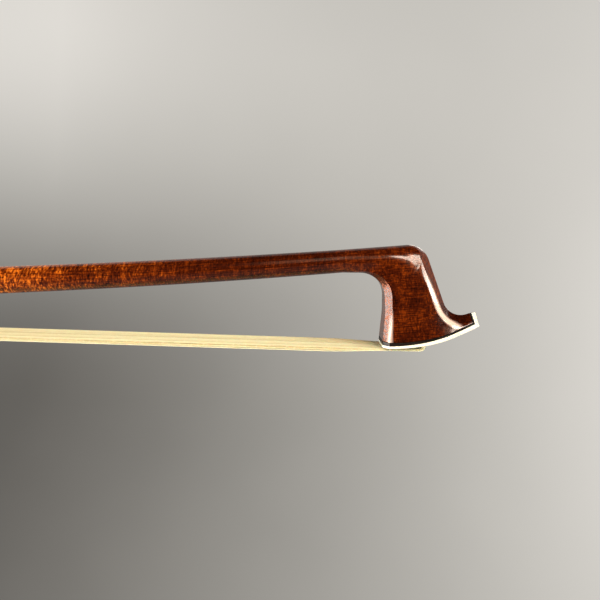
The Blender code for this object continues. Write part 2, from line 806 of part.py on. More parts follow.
def frog_hair_path():
    """The hair's middle line from the ferrule's mouth to the frog's knot, in the bow's frame."""
    channel = -(SLIDE_TOP - SEAT_GAP - HAIR_THICKNESS / 2)
    rear = FROG_MORTISE_START + SEAT_GAP + HAIR_THICKNESS / 2
    step = FERRULE_START + SLIDE_FRONT_TONGUE + SEAT_GAP
    corners = [
        (FERRULE_MOUTH, -HAIR_DEPTH),
        (step + HAIR_STEP_LENGTH, -HAIR_DEPTH),
        (step, channel),
        (rear, channel),
        (rear, -CHANNEL_TOP + FROG_PLUG_HEIGHT),
    ]
    path = rounded_path(corners, [HAIR_STEP_BEND, HAIR_STEP_BEND, HAIR_FROG_BEND], BEND_STEPS)
    return [point + Vector((FROG_REAR, 0.0)) for point in path]


def hair_width(distance):
    """The ribbon's width at a distance from the head's throat, less than 0 inside the head."""
    in_head = ease(distance, -HEAD_MORTISE_LENGTH, HAIR_SPREAD)
    on_way = ease(distance, HAIR_SPREAD, HAIR_LENGTH)
    to_knot = ease(distance, HAIR_LENGTH, HAIR_LENGTH + FERRULE_LENGTH * 2)
    width = mix(HAIR_WIDTH_MORTISE, HAIR_WIDTH_HEAD, in_head)
    return mix(mix(width, HAIR_WIDTH_FROG, on_way), HAIR_WIDTH_MORTISE * 0.92, to_knot)


def hair_thickness(distance):
    """The ribbon is pressed thin at the head and in the ferrule, and looser on its way."""
    loose = ease(distance, 0.0, HAIR_SPREAD) * ease(HAIR_LENGTH - distance, 0.0, HAIR_SPREAD)
    return mix(HAIR_THICKNESS, HAIR_LOOSE_THICKNESS, loose)


def hair_section(place, normal, width, thickness):
    """A ribbon section with rounded edges and a slightly crowned face."""
    half, thick = width / 2, thickness / 2
    layout = [(0, 1), (0.5, 0.97), (0.9, 0.75), (1, 0), (0.9, -0.75), (0.5, -0.97)]
    layout += [(-a, -b) for a, b in layout]
    points = []
    for across, out in layout:
        middle = place + normal * out * thick
        points.append(Vector((middle.x, across * half, middle.y)))
    return points


def make_hair():
    head = [HEAD_ORIGIN + turned_up(point) for point in head_hair_path()]
    frog = frog_hair_path()
    free = [head[-1].lerp(frog[0], i / HAIR_RINGS) for i in range(1, HAIR_RINGS)]
    near = [head[-1].lerp(frog[0], HAIR_SPREAD * i / 3 / HAIR_LENGTH) for i in range(1, 4)]
    points = head + near + free + frog
    rings, travelled = [], 0.0
    lead = sum((b - a).length for a, b in zip(head, head[1:]))
    for i, point in enumerate(points):
        before, after = points[max(i - 1, 0)], points[min(i + 1, len(points) - 1)]
        along = (after - before).normalized()
        if i:
            travelled += (point - before).length
        distance = travelled - lead
        across = Vector((along.y, -along.x))
        rings.append(hair_section(point, across, hair_width(distance), hair_thickness(distance)))
    finish_mesh("hair", loft(rings), "horsehair")


def knot(width):
    """A bound knot: a short bundle across the bow with a waist under the thread."""
    rings = []
    for along, share in KNOT_PROFILE:
        round_points = disc_points(KNOT_RADIUS * share, 16)
        rings.append([Vector((x, along * width, z)) for x, z in round_points])
    return loft(rings)


def make_head_knot():
    made = finish_mesh("head_knot", knot(HAIR_WIDTH_MORTISE - 2 * SEAT_GAP), "horsehair")
    end = HEAD_MORTISE_END - KNOT_RADIUS - SEAT_GAP
    roof = foot_height(end) + HEAD_PLUG_HEIGHT + KNOT_RADIUS + 2 * SEAT_GAP
    made.location = head_point(end, 0.0, roof)
    made.rotation_euler = (0.0, -HAIR_ANGLE, 0.0)


def make_head_plug():
    """The plug that presses the hair to the mortise's front wall, with a relief for the hair."""
    start = HEAD_MORTISE_START + SEAT_GAP + HEAD_MORTISE_TUCK / 2
    end = HEAD_MORTISE_END - HAIR_THICKNESS - 3 * SEAT_GAP
    half = HEAD_MORTISE_WIDTH / 2 - SEAT_GAP - HEAD_MORTISE_TUCK
    front = foot_height(end)
    outline = [(start, HEAD_PLUG_RELIEF), (start, HEAD_PLUG_HEIGHT), (end, front + HEAD_PLUG_HEIGHT)]
    outline += [(end, front + HEAD_PLUG_RELIEF), (mix(start, end, 0.5), HEAD_PLUG_RELIEF)]
    rings = [[head_point(x, y, z) for x, z in outline] for y in (-half, half)]
    finish_mesh("head_plug", loft(rings), "maple")


# Frog, in its own group: x from the back end, depths given as negative z
def facet_line(proud):
    """Half of the handle's three lower facets, moved out by proud, from the bottom flat up."""
    reach = APOTHEM + proud
    knee = reach * math.tan(EIGHTH_TURN / 2)
    edge = FROG_TOP_WIDTH / 2
    return [(knee, -reach), (edge, edge - reach * math.sqrt(2))]


def mirrored(half_outline):
    """A closed outline from its right half."""
    left = [(-y, z) for y, z in reversed(half_outline) if y > 1e-9]
    return half_outline + left


def frog_side(z):
    """Half the frog's width at a depth: plumb under the stick, then splayed to the base."""
    low = -(FROG_DEPTH - FROG_BASE_SIDE)
    share = min(max((z + FROG_EDGE_DEPTH) / (low + FROG_EDGE_DEPTH), 0.0), 1.0)
    return mix(FROG_TOP_WIDTH, FROG_BASE_WIDTH, share) / 2


def frog_section(depth=FROG_DEPTH):
    channel = facet_line(RUN_GAP + UNDERSLIDE_THICKNESS + SEAT_GAP)
    half = list(channel)
    half.append((FROG_TOP_WIDTH / 2, -FROG_EDGE_DEPTH))
    half.append((FROG_BASE_WIDTH / 2, -(FROG_DEPTH - FROG_BASE_SIDE)))
    half.append((FROG_BASE_WIDTH / 2, -(depth - FROG_BASE_CHAMFER)))
    half.append((FROG_BASE_WIDTH / 2 - FROG_BASE_CHAMFER, -depth))
    return mirrored(half)


def frog_outline():
    """The frog seen from its side: heel, top, crest, thumb gap and shoulder."""
    gap_x, gap_depth = THUMB_GAP_CENTRE
    radius = THUMB_GAP_RADIUS
    top = -APOTHEM * math.tan(EIGHTH_TURN / 2) * 0.5
    edge_z = facet_line(RUN_GAP + UNDERSLIDE_THICKNESS + SEAT_GAP)[-1][1]
    roof = radius - gap_depth
    corners = [
        (FROG_LENGTH - CREST_ROUND * 2, top),
        (FROG_LENGTH, top),
        (FROG_LENGTH, edge_z - CREST_THICKNESS),
        (gap_x + THUMB_ROOF, roof),
    ]
    crest = rounded_path(corners, [CREST_ROUND, CREST_ROUND], BEND_STEPS)
    arc = []
    for i in range(THUMB_GAP_STEPS + 1):
        angle = math.pi / 2 + math.pi * i / THUMB_GAP_STEPS
        arc.append((gap_x + radius * math.cos(angle), radius * math.sin(angle) - gap_depth))
    heel = HEEL_THICKNESS + SEAT_GAP
    toe = HEEL_LENGTH + SEAT_GAP
    rise = HEEL_HEIGHT + SEAT_GAP - FROG_DEPTH
    low = [(FROG_SHOULDER, -FROG_DEPTH), (toe, -FROG_DEPTH), (toe, heel - FROG_DEPTH)]
    low += [(heel, heel - FROG_DEPTH), (heel, rise), (0.0, rise)]
    return [(0.0, top)] + [tuple(point) for point in crest] + arc + low


def ferrule_outline(inset, base):
    """The ferrule's D, drawn in from its outside by inset, closed at a depth base."""
    half = FROG_BASE_WIDTH / 2 - inset
    spring = FROG_DEPTH - FERRULE_SIDE
    rise = FERRULE_HEIGHT - FERRULE_SIDE - inset
    start = math.asin(max(spring - base, 0.0) / rise)
    points = [(half - FERRULE_EDGE, -base), (half, -base + FERRULE_EDGE)] if base > spring else []
    for i in range(9):
        angle = mix(start, math.pi / 2, i / 8)
        points.append((half * math.cos(angle), rise * math.sin(angle) - spring))
    return mirrored(points)


def dovetail(clearance, depth_from, depth_to):
    """The slide's section between two depths, wider at its hidden face."""
    def half_at(depth):
        share = (FROG_DEPTH - depth) / SLIDE_THICKNESS
        return SLIDE_HALF_WIDTH + SLIDE_DOVETAIL * share + clearance
    low, high = half_at(depth_from), half_at(depth_to)
    return [(-low, -depth_from), (low, -depth_from), (high, -depth_to), (-high, -depth_to)]


def eye_frame(side):
    """Places a piece on the frog's splayed side, its own +Z pointing out of the frog."""
    x, depth = EYE_PLACE
    run = FROG_DEPTH - FROG_BASE_SIDE - FROG_EDGE_DEPTH
    splay = math.atan((FROG_BASE_WIDTH - FROG_TOP_WIDTH) / 2 / run)
    turn = Matrix.Rotation(-side * (math.pi / 2 - splay), 4, "X")
    return Matrix.Translation((x, side * frog_side(-depth), -depth)) @ turn


def disc(radius, low, high, sides=32):
    return loft([[Vector((x, y, z)) for x, y in disc_points(radius, sides)] for z in (low, high)])


def moved(bm, matrix):
    bmesh.ops.transform(bm, matrix=matrix, verts=bm.verts)
    return bm


def make_frog(group):
    frog = finish_mesh("frog", across_y(frog_outline(), FROG_BASE_WIDTH), "ebony", group)
    guide = along_x(frog_section(), -FROG_LENGTH, 2 * FROG_LENGTH)
    cut(frog, "frog_section_guide", guide, "INTERSECT")
    tongue = ferrule_outline(FERRULE_WALL + SEAT_GAP, CHANNEL_TOP)
    cut(frog, "frog_tongue", along_x(tongue, FROG_SHOULDER - OVERRUN, FERRULE_MOUTH - FACE_GAP), "UNION")
    slide_end = FROG_SHOULDER + FACE_GAP
    slide_bed = dovetail(SEAT_GAP, FROG_DEPTH + OVERRUN, SLIDE_TOP - FACE_GAP)
    cut(frog, "frog_slide_bed", along_x(slide_bed, HEEL_LENGTH - SEAT_GAP, slide_end))
    cut(frog, "frog_hair_channel", hair_channel())
    half = FROG_MORTISE_WIDTH / 2
    roof = -(CHANNEL_TOP - FROG_MORTISE_HEIGHT)
    end = FROG_MORTISE_START + FROG_MORTISE_LENGTH
    cut(frog, "frog_mortise", box((FROG_MORTISE_START, -half, -SLIDE_TOP), (end, half, roof)))
    shank = disc(EYELET_SHANK_DIAMETER / 2 + FACE_GAP, -EYELET_SHANK_END - FACE_GAP, 0.0)
    cut(frog, "frog_eyelet_hole", moved(shank, Matrix.Translation((EYELET_PLACE, 0, 0))))
    for i, place in enumerate(UNDERSLIDE_SCREW_PLACES):
        radius = UNDERSLIDE_SCREW_DIAMETER / 2 + GLUE_GAP
        hole = disc(radius, -APOTHEM - UNDERSLIDE_SCREW_LENGTH - FACE_GAP, 0.0, 16)
        cut(frog, f"frog_screw_hole_{i + 1}", moved(hole, Matrix.Translation((place, 0, 0))))
    for i, matrix in enumerate(heel_pin_frames()):
        cut(frog, f"frog_pin_hole_{i + 1}", moved(heel_pin(GLUE_GAP, FACE_GAP), matrix))
    for side, word in ((-1, "right"), (1, "left")):
        pocket = disc(EYE_RING_DIAMETER / 2 + SEAT_GAP, -EYE_THICKNESS - SEAT_GAP, EYE_THICKNESS)
        cut(frog, f"frog_eye_pocket_{word}", moved(pocket, eye_frame(side)))


def hair_channel():
    half = HAIR_CHANNEL_WIDTH / 2
    return box((FROG_MORTISE_START, -half, -SLIDE_TOP), (FERRULE_MOUTH, half, -CHANNEL_TOP))


def make_slide(group):
    base_start, front = HEEL_LENGTH + 2 * SEAT_GAP, FERRULE_START + SLIDE_FRONT_TONGUE - FACE_GAP
    pearl_top = FROG_DEPTH - PEARL_THICKNESS
    base = dovetail(0.0, pearl_top - SEAT_GAP, SLIDE_TOP)
    finish_mesh("slide_base", along_x(base, base_start, front), "ebony", group)
    face = dovetail(0.0, FROG_DEPTH, pearl_top)
    finish_mesh("slide_pearl", along_x(face, base_start, FROG_SHOULDER), "pearl", group)


def make_ferrule(group):
    outer = along_x(ferrule_outline(0.0, FROG_DEPTH), FERRULE_START, FERRULE_MOUTH)
    ferrule = finish_mesh("ferrule", outer, "silver", group)
    inner = ferrule_outline(FERRULE_WALL, FROG_DEPTH - FERRULE_WALL)
    cut(ferrule, "ferrule_inside", along_x(inner, FROG_SHOULDER - OVERRUN, FERRULE_MOUTH + OVERRUN))


def make_wedge(group):
    top = CHANNEL_TOP + SEAT_GAP
    low = HAIR_DEPTH - HAIR_THICKNESS / 2 - SEAT_GAP
    half = HAIR_WIDTH_FROG / 2 - SEAT_GAP
    start = FERRULE_MOUTH - WEDGE_LENGTH
    outline = [(start, WEDGE_RELIEF - low), (start, -top - WEDGE_RELIEF), (FERRULE_MOUTH, -top)]
    outline += [(FERRULE_MOUTH, -low)]
    finish_mesh("ferrule_wedge", across_y(outline, half), "maple", group)


def make_heel_plate(group):
    rise = -(FROG_DEPTH - HEEL_HEIGHT)
    floor = -FROG_DEPTH
    outline = [(0.0, floor), (HEEL_LENGTH, floor), (HEEL_LENGTH, floor + HEEL_THICKNESS)]
    outline += [(HEEL_THICKNESS, floor + HEEL_THICKNESS), (HEEL_THICKNESS, rise), (0.0, rise)]
    plate = finish_mesh("heel_plate", across_y(outline, FROG_BASE_WIDTH), "silver", group)
    cut(plate, "heel_section_guide", along_x(frog_section(), -FROG_LENGTH, FROG_LENGTH), "INTERSECT")
    for i, matrix in enumerate(heel_pin_frames()):
        cut(plate, f"heel_pin_hole_{i + 1}", moved(heel_pin(GLUE_GAP, FACE_GAP), matrix))


def heel_pin(proud, longer):
    return disc(HEEL_PIN_DIAMETER / 2 + proud, -HEEL_PIN_LENGTH - longer, longer, 16)


def heel_pin_frames():
    """Two pins up through the sole of the heel plate, and two in through its back."""
    sole_x, sole_y = HEEL_SOLE_PINS
    back_z, back_y = HEEL_BACK_PINS
    frames = []
    for side in (-1, 1):
        down = Matrix.Rotation(math.pi, 4, "X")
        frames.append(Matrix.Translation((sole_x, side * sole_y, -FROG_DEPTH)) @ down)
    for side in (-1, 1):
        rearward = Matrix.Rotation(-math.pi / 2, 4, "Y")
        frames.append(Matrix.Translation((0.0, side * back_y, back_z - FROG_DEPTH)) @ rearward)
    return frames


def make_heel_pins(group):
    for i, matrix in enumerate(heel_pin_frames()):
        pin = finish_mesh(f"heel_pin_{i + 1}", heel_pin(0.0, 0.0), "silver", group)
        pin.matrix_local = matrix


def make_underslide(group):
    """The thin lining between the frog and the handle's three lower facets."""
    inner = facet_line(RUN_GAP)
    outer = facet_line(RUN_GAP + UNDERSLIDE_THICKNESS)
    outline = inner[::-1] + [(-y, z) for y, z in inner] + [(-y, z) for y, z in reversed(outer)] + outer
    lining = finish_mesh("underslide", along_x(outline, 0.0, FROG_LENGTH - CREST_ROUND), "silver", group)
    hole = disc(EYELET_SHANK_DIAMETER / 2 + FACE_GAP, -2 * APOTHEM, 0.0)
    cut(lining, "underslide_eyelet_hole", moved(hole, Matrix.Translation((EYELET_PLACE, 0, 0))))
    for i, place in enumerate(UNDERSLIDE_SCREW_PLACES):
        hole = disc(UNDERSLIDE_SCREW_DIAMETER / 2 + GLUE_GAP, -2 * APOTHEM, 0.0, 16)
        cut(lining, f"underslide_screw_hole_{i + 1}", moved(hole, Matrix.Translation((place, 0, 0))))


def make_underslide_screws(group):
    for i, place in enumerate(UNDERSLIDE_SCREW_PLACES):
        top = -APOTHEM - RUN_GAP - GLUE_GAP
        body = disc(UNDERSLIDE_SCREW_DIAMETER / 2, top - UNDERSLIDE_SCREW_LENGTH, top, 16)
        screw = finish_mesh(f"underslide_screw_{i + 1}", body, "steel", group)
        screw.location = (place, 0.0, 0.0)


def make_eyes(group):
    for side, word in ((-1, "right"), (1, "left")):
        rim = disc(EYE_RING_DIAMETER / 2, -EYE_THICKNESS, 0.0)
        ring = finish_mesh(f"eye_ring_{word}", rim, "silver", group)
        ring.matrix_local = eye_frame(side)
        inside = disc(EYE_PEARL_DIAMETER / 2 + GLUE_GAP, -2 * EYE_THICKNESS, EYE_THICKNESS)
        cut(ring, f"eye_ring_inside_{word}", moved(inside, eye_frame(side)))
        centre = disc(EYE_PEARL_DIAMETER / 2, -EYE_THICKNESS, 0.0)
        pearl = finish_mesh(f"eye_pearl_{word}", centre, "pearl", group)
        pearl.matrix_local = eye_frame(side)


def make_eyelet(group):
    half = EYELET_LENGTH / 2
    wide = EYELET_WIDTH / 2
    block = box((-half, -wide, -EYELET_BELOW), (half, wide, EYELET_ABOVE))
    eyelet = finish_mesh("eyelet", block, "brass", group)
    eyelet.location = (EYELET_PLACE, 0.0, 0.0)
    shank = disc(EYELET_SHANK_DIAMETER / 2 - GLUE_GAP, -EYELET_SHANK_END, -EYELET_BELOW + GLUE_GAP)
    cut(eyelet, "eyelet_shank", moved(shank, Matrix.Translation((EYELET_PLACE, 0, 0))), "UNION")
    radius = SCREW_DIAMETER / 2 + THREAD_CLEARANCE
    thread = turned([(EYELET_PLACE - EYELET_LENGTH, radius), (EYELET_PLACE + EYELET_LENGTH, radius)])
    cut(eyelet, "eyelet_thread", thread)


def make_frog_plug(group):
    start = FROG_MORTISE_START + HAIR_THICKNESS + 2 * SEAT_GAP
    end = FROG_MORTISE_START + FROG_MORTISE_LENGTH - SEAT_GAP
    half = FROG_MORTISE_WIDTH / 2 - SEAT_GAP
    low = CHANNEL_TOP - GLUE_GAP
    body = box((start, -half, -low), (end, half, -low + FROG_PLUG_HEIGHT))
    finish_mesh("frog_plug", body, "maple", group)


def make_frog_knot(group):
    made = finish_mesh("frog_knot", knot(FROG_MORTISE_WIDTH - 3 * SEAT_GAP), "horsehair", group)
    place = FROG_MORTISE_START + KNOT_RADIUS + SEAT_GAP
    made.location = (place, 0.0, -CHANNEL_TOP + FROG_PLUG_HEIGHT + KNOT_RADIUS + 2 * SEAT_GAP)


# Button and screw, in a group on the screw's axis
def make_button(group):
    cap_end = BUTTON_CAP_LENGTH
    collar_start = BUTTON_LENGTH - BUTTON_COLLAR_LENGTH
    tenon = BUTTON_TENON_DIAMETER / 2
    rim = BUTTON_FLATS - 2 * BUTTON_EDGE
    cap_profile = [(0.0, rim), (BUTTON_EDGE, BUTTON_FLATS)]
    cap_profile += [(cap_end - BUTTON_EDGE, BUTTON_FLATS), (cap_end, rim)]
    cap = finish_mesh("button_cap", octagonal(cap_profile), "silver", group)
    socket = tenon + SEAT_GAP
    cut(cap, "button_cap_inside", turned([(CAP_END_THICKNESS, socket), (cap_end + OVERRUN, socket)]))
    collar_profile = [(collar_start, rim), (collar_start + BUTTON_EDGE, BUTTON_FLATS)]
    collar_profile += [(BUTTON_LENGTH - BUTTON_EDGE, BUTTON_FLATS), (BUTTON_LENGTH, rim)]
    collar = finish_mesh("button_collar", octagonal(collar_profile), "silver", group)
    tenon_end = collar_start + BUTTON_TENON_LENGTH
    cut(collar, "button_collar_back", turned([(cap_end, socket), (tenon_end, socket)]))
    nipple = NIPPLE_DIAMETER / 2 + BORE_CLEARANCE
    nipple_end = STICK_END - NIPPLE_LENGTH - FACE_GAP
    cut(collar, "button_collar_front", turned([(nipple_end, nipple), (2 * BUTTON_LENGTH, nipple)]))
    bore = SCREW_COLLAR_DIAMETER / 2 + SEAT_GAP
    cut(collar, "button_collar_bore", turned([(cap_end, bore), (2 * BUTTON_LENGTH, bore)]))
    make_button_core(group, cap_end + SEAT_GAP, collar_start - SEAT_GAP, tenon)


def make_button_core(group, start, end, tenon):
    middle = mix(start, end, 0.5)
    waist = octagonal([(start, BUTTON_WAIST_FLATS), (middle, BUTTON_FLATS), (end, BUTTON_WAIST_FLATS)])
    core = finish_mesh("button_core", waist, "ebony", group)
    back = CAP_END_THICKNESS + SEAT_GAP
    front = end + BUTTON_TENON_LENGTH
    cut(core, "button_core_tenons", turned([(back, tenon), (front, tenon)]), "UNION")
    radius = SCREW_DIAMETER / 2 + SEAT_GAP
    cut(core, "button_core_bore", turned([(SCREW_TAIL - SEAT_GAP, radius), (2 * BUTTON_LENGTH, radius)]))


def make_screw(group):
    thin, thick = SCREW_DIAMETER / 2, SCREW_COLLAR_DIAMETER / 2
    collar = BUTTON_LENGTH - BUTTON_COLLAR_LENGTH + BUTTON_TENON_LENGTH
    end = STICK_END + SCREW_COLLAR_LENGTH
    profile = [(SCREW_TAIL, thin), (collar, thin), (collar, thick), (end, thick), (end, thin)]
    profile += [(SCREW_REACH - thin, thin), (SCREW_REACH, thin * 0.5)]
    finish_mesh("screw", turned(profile), "steel", group)


# Grip
def make_grip():
    end = LEATHER_START + LEATHER_LENGTH

    def leather(x):
        skive = ease(min(x - LEATHER_START, end - x), 0.0, LEATHER_SKIVE)
        return SEAT_GAP + mix(LEATHER_EDGE, LEATHER_THICKNESS, skive)

    def wire(x):
        return SEAT_GAP + LAPPING_THICKNESS

    sleeve("thumb_leather", "leather", LEATHER_START, end, LEATHER_RINGS, SEAT_GAP, leather)
    sleeve("lapping", "silver", LAPPING_START, LAPPING_START + LAPPING_LENGTH, LAPPING_RINGS, SEAT_GAP, wire)


def build():
    clear_scene()
    make_stick()
    make_tip()
    make_hair()
    make_head_knot()
    make_head_plug()
    make_grip()
    frog_group = empty("frog_slide_axis", (FROG_REAR, 0.0, 0.0))
    for make in (make_frog, make_slide, make_ferrule, make_wedge, make_heel_plate, make_heel_pins):
        make(frog_group)
    for make in (make_underslide, make_underslide_screws, make_eyes, make_eyelet):
        make(frog_group)
    for make in (make_frog_plug, make_frog_knot):
        make(frog_group)
    screw_group = empty("screw_axis", (0.0, 0.0, 0.0))
    make_button(screw_group)
    make_screw(screw_group)


build()
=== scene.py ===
"""Looks of a viola bow: the finish of its wood, bone, hair, silver, ebony, pearl and leather."""

import math

import bmesh
import bpy
from mathutils import Matrix, Vector
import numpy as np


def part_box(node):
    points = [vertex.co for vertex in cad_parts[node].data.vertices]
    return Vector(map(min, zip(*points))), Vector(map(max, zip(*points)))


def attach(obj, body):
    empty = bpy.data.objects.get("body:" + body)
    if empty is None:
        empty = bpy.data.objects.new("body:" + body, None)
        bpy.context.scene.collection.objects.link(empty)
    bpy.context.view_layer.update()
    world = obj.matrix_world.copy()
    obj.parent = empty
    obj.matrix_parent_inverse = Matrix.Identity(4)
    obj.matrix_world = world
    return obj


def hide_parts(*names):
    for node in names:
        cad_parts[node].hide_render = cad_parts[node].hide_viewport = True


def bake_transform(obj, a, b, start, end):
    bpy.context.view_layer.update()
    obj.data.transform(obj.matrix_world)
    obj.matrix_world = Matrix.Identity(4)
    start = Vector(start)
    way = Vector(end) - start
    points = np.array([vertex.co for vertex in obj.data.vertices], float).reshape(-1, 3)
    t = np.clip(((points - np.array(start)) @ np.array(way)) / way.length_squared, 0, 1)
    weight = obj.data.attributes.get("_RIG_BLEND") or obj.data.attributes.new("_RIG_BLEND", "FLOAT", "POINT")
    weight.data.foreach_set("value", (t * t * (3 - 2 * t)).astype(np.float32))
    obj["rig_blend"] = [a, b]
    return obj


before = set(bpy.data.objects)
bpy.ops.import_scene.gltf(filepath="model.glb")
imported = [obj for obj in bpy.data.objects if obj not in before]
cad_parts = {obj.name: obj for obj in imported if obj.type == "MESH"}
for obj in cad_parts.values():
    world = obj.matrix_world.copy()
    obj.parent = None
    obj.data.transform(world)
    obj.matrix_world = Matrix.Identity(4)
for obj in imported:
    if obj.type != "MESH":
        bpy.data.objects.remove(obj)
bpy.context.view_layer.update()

# Stick, in metres, as in the solids
APOTHEM = 0.0045
BUTTON_LENGTH = 0.0145
STICK_END = 0.0148
NIPPLE_RADIUS = 0.0031
NIPPLE_LENGTH = 0.0009
HANDLE_END = 0.1268
ROUNDING_LENGTH = 0.012
ROUND_BUTT_DIAMETER = 0.0089
TIP_DIAMETER = 0.00545
TAPER_OFFSET = 0.072
CAMBER_START = 0.130
CAMBER_RISE = 0.0395
CAMBER_POWER = 2.5

# Head, in its own plane: X along the hair from the throat's foot, Z up from the plate
HAIR_LENGTH = 0.6475
JOIN_BACK = 0.0105
JOIN_HEIGHT = 0.0207
THROAT_WAIST = (0.0004, 0.0082)
THROAT_CORNER = (-0.0001, 0.0181)
THROAT_RADIUS = 0.0059
UNDERSIDE_KNEE = (-0.0085, 0.0179)
UNDERSIDE_RADIUS = 0.015
WAIST_RADIUS = 0.020
CROWN_CORNER = (0.00935, 0.02565)
CROWN_RADIUS = 0.0056
NOSE_CORNER = (0.0171, 0.00676)
NOSE_RADIUS = 0.0046
BEAK_FOOT = 0.0239
BEAK_TOP = (0.0234, 0.0089)
FOOT_TANGENT = 0.0008
FOOT_RADIUS = 0.0485
HEAD_HALF_WIDTH = 0.0054
CHEEK_SLOPE = 0.068
NOSE_TAPER_START = 0.006
NOSE_TAPER_END = 0.0187
NOSE_TAPER = 0.30
NOSE_TAPER_POWER = 3.0
THROAT_CHAMFER = 0.0016
CHEEK_EDGE_START = (0.0074, 0.0219)
CHEEK_EDGE_CORNER = (0.0138, 0.0065)
CHEEK_EDGE_RADIUS = 0.0100
FACET_EDGE_START = (0.0083, 0.0222)
FACET_EDGE_CORNER = (0.0169, 0.0038)
FACET_EDGE_RADIUS = 0.0058
FACET_HALF_WIDTH = 0.0031
BEAK_HALF_WIDTH = 0.0020
BEAK_BASE_HALF_WIDTH = 0.0027
BEAK_SHOULDER = 0.15
LINE_LOOKAHEAD = 0.01
ARC_MARGIN = 1.6

# Varnish on the head: rubbed patches on the throat's chamfer, paler in part as a painted sheen, and painted
# highlight lines along two edges
WEAR_AND_SHEEN_TILT = ((0.25, 0.55), (0.80, 0.95))
WEAR_AND_SHEEN_RUN = ((-0.002, 0.0), (0.0022, 0.0030))
WEAR_AND_SHEEN_RISE = (0.0155, 0.0175)
NOSE_LINE_START = 0.0070
NOSE_LINE_WIDTH = 0.0009
NOSE_LINE_CORE = 0.45
NOSE_LINE_FADE = (0.012, 0.020)
NOSE_LINE_STEPS = 20
THROAT_LINE_END = 0.0035
THROAT_LINE_WIDTH = 0.00024
THROAT_LINE_ASIDE = 0.0001
THROAT_LINE_FADE = (0.004, 0.010)
THROAT_LINE_START = 0.4
THROAT_LINE_STEPS = 240

# Shares of the way through the head, from the stick to the foot
THROAT_SPAN = (0.20, 0.52)
CROWN_SPAN = (0.34, 0.56)
THROAT_FACING = (0.16, 0.42)
CROWN_FACING = (0.38, 0.60)
CHEEK_FACING = (0.44, 0.74)
LINE_FACING = (THROAT_FACING, THROAT_FACING, CHEEK_FACING, CROWN_FACING, CROWN_FACING)
FACET_SPAN = (0.66, 1.0)
BEAK_BEND = (0.86, 1.0)
FOOT_BEND = (0.52, 1.0)

# Tip plate, liner, head mortise and the wood's pockets
PLATE_THICKNESS = 0.00095
PLATE_BACK_THICKNESS = 0.00055
LINER_THICKNESS = 0.00035
GLUE_GAP = 0.0001
SEAT_GAP = 0.0002
MORTISE_START = 0.0029
MORTISE_END = 0.0111
MORTISE_WIDTH = 0.0086
MORTISE_HEIGHT = 0.0088
MORTISE_TUCK = 0.0006
HEAD_PLUG_HEIGHT = 0.0036
WOOD_DEPTH = PLATE_THICKNESS + LINER_THICKNESS + 2 * GLUE_GAP
COLLAR_BORE = (BUTTON_LENGTH / 2, 0.0276, 0.00225)
SCREW_BORE = (STICK_END, 0.0910, 0.00175)
EYELET_SLOT = ((0.0318, -0.0026, -0.0090), (0.0472, 0.0026, 0.0029))

# Hair
HAIR_THICKNESS = 0.00078
HAIR_LOOSE_THICKNESS = 0.00145
HAIR_WIDTH_HEAD = 0.0117
HAIR_WIDTH_FROG = 0.0121
HAIR_WIDTH_MORTISE = 0.0078
HAIR_SPREAD = 0.014
HAIR_HEAD_BEND = 0.0012
HAIR_FROG_BEND = 0.0008
HAIR_STEP_BEND = 0.0015
HAIR_STEP_LENGTH = 0.0026
HAIR_BELOW_PLATE = HAIR_THICKNESS / 2 + GLUE_GAP
HAIR_IN_FROG = 0.0232
FROG_END_NARROWING = 0.92
SPREAD_STEPS = 5
FREE_STEPS = 26
HEAD_BEND_STEPS = 8
FROG_BEND_STEPS = 5

# The hair's bed: its width in the ribbon, its cover in strand radii, and one side of its outline
BED_WIDTH = 0.974
BED_COVER = 1.1
BED_OUTLINE = [(0, 1), (0.6, 0.95), (0.93, 0.6), (1, 0), (0.93, -0.6), (0.6, -0.95)]

# The hairs that lie over the bed
STRANDS = 268
STRAND_LAYERS = 4
STRAND_RADIUS = 0.00011
STRAND_SIDES = 5
STRAND_SEED = 7
STRAND_JITTER = 1.2
STRAND_WANDER = 0.00012
WANDER_SCALE = (14.0, 1.0, 1.0)
WANDER_APART = (3.7, 1.3)
SWAY_APART = (9.0, 4.0, 2.0)
LAYER_SPREAD = 0.86
SWAY_SPREAD = 0.28
EDGE_THINNING = 0.2

# Frog, from its back end, and the depth of its base below the handle's axis
FROG_REAR = 0.0225
FROG_DEPTH = 0.0250
FERRULE_START = 0.0339
FERRULE_MOUTH = 0.0455
SLIDE_FRONT_TONGUE = 0.0030
SLIDE_TOP = 0.0226
CHANNEL_TOP = 0.0215
FROG_MORTISE_START = 0.0185
FROG_PLUG_HEIGHT = 0.0023
FERRULE_WALL = 0.0005
HAIR_DEPTH = FROG_DEPTH - FERRULE_WALL - SEAT_GAP - HAIR_THICKNESS / 2

# Grip
LEATHER_SPAN = (0.0745, 0.1085)
LEATHER_THICKNESS = 0.0013
LEATHER_EDGE = 0.0007
LEATHER_SKIVE = 0.0025
LEATHER_SEAM = math.radians(205)
LEATHER_ROUND = 1.045
LEATHER_ROUND_SHARE = 0.6
LEATHER_SLACK = 0.00001
SEAM_DIP = 0.00022
SEAM_HALF_ANGLE = 0.07
LAPPING_SPAN = (0.1087, 0.1807)
LAPPING_WIRE = 0.0004
WIRE_PITCH = 1.03 * LAPPING_WIRE
WIRE_EASE = 0.99
WIRE_SIDES = 6
WIRE_TURN_POINTS = 24

# Places round half a section, from the bottom of the head to its top, which its edges run through
FLAT_EDGE, CHEEK_START, CHEEK_END, FOOT_CORNER, FACET_EDGE, HALF = 2, 3, 11, 13, 14, 16
COLUMNS = [i / 2 for i in range(2 * HALF + 1)]
ANGLES = [math.pi * c / HALF for c in COLUMNS + [2 * HALF - c for c in COLUMNS[-2:0:-1]]]

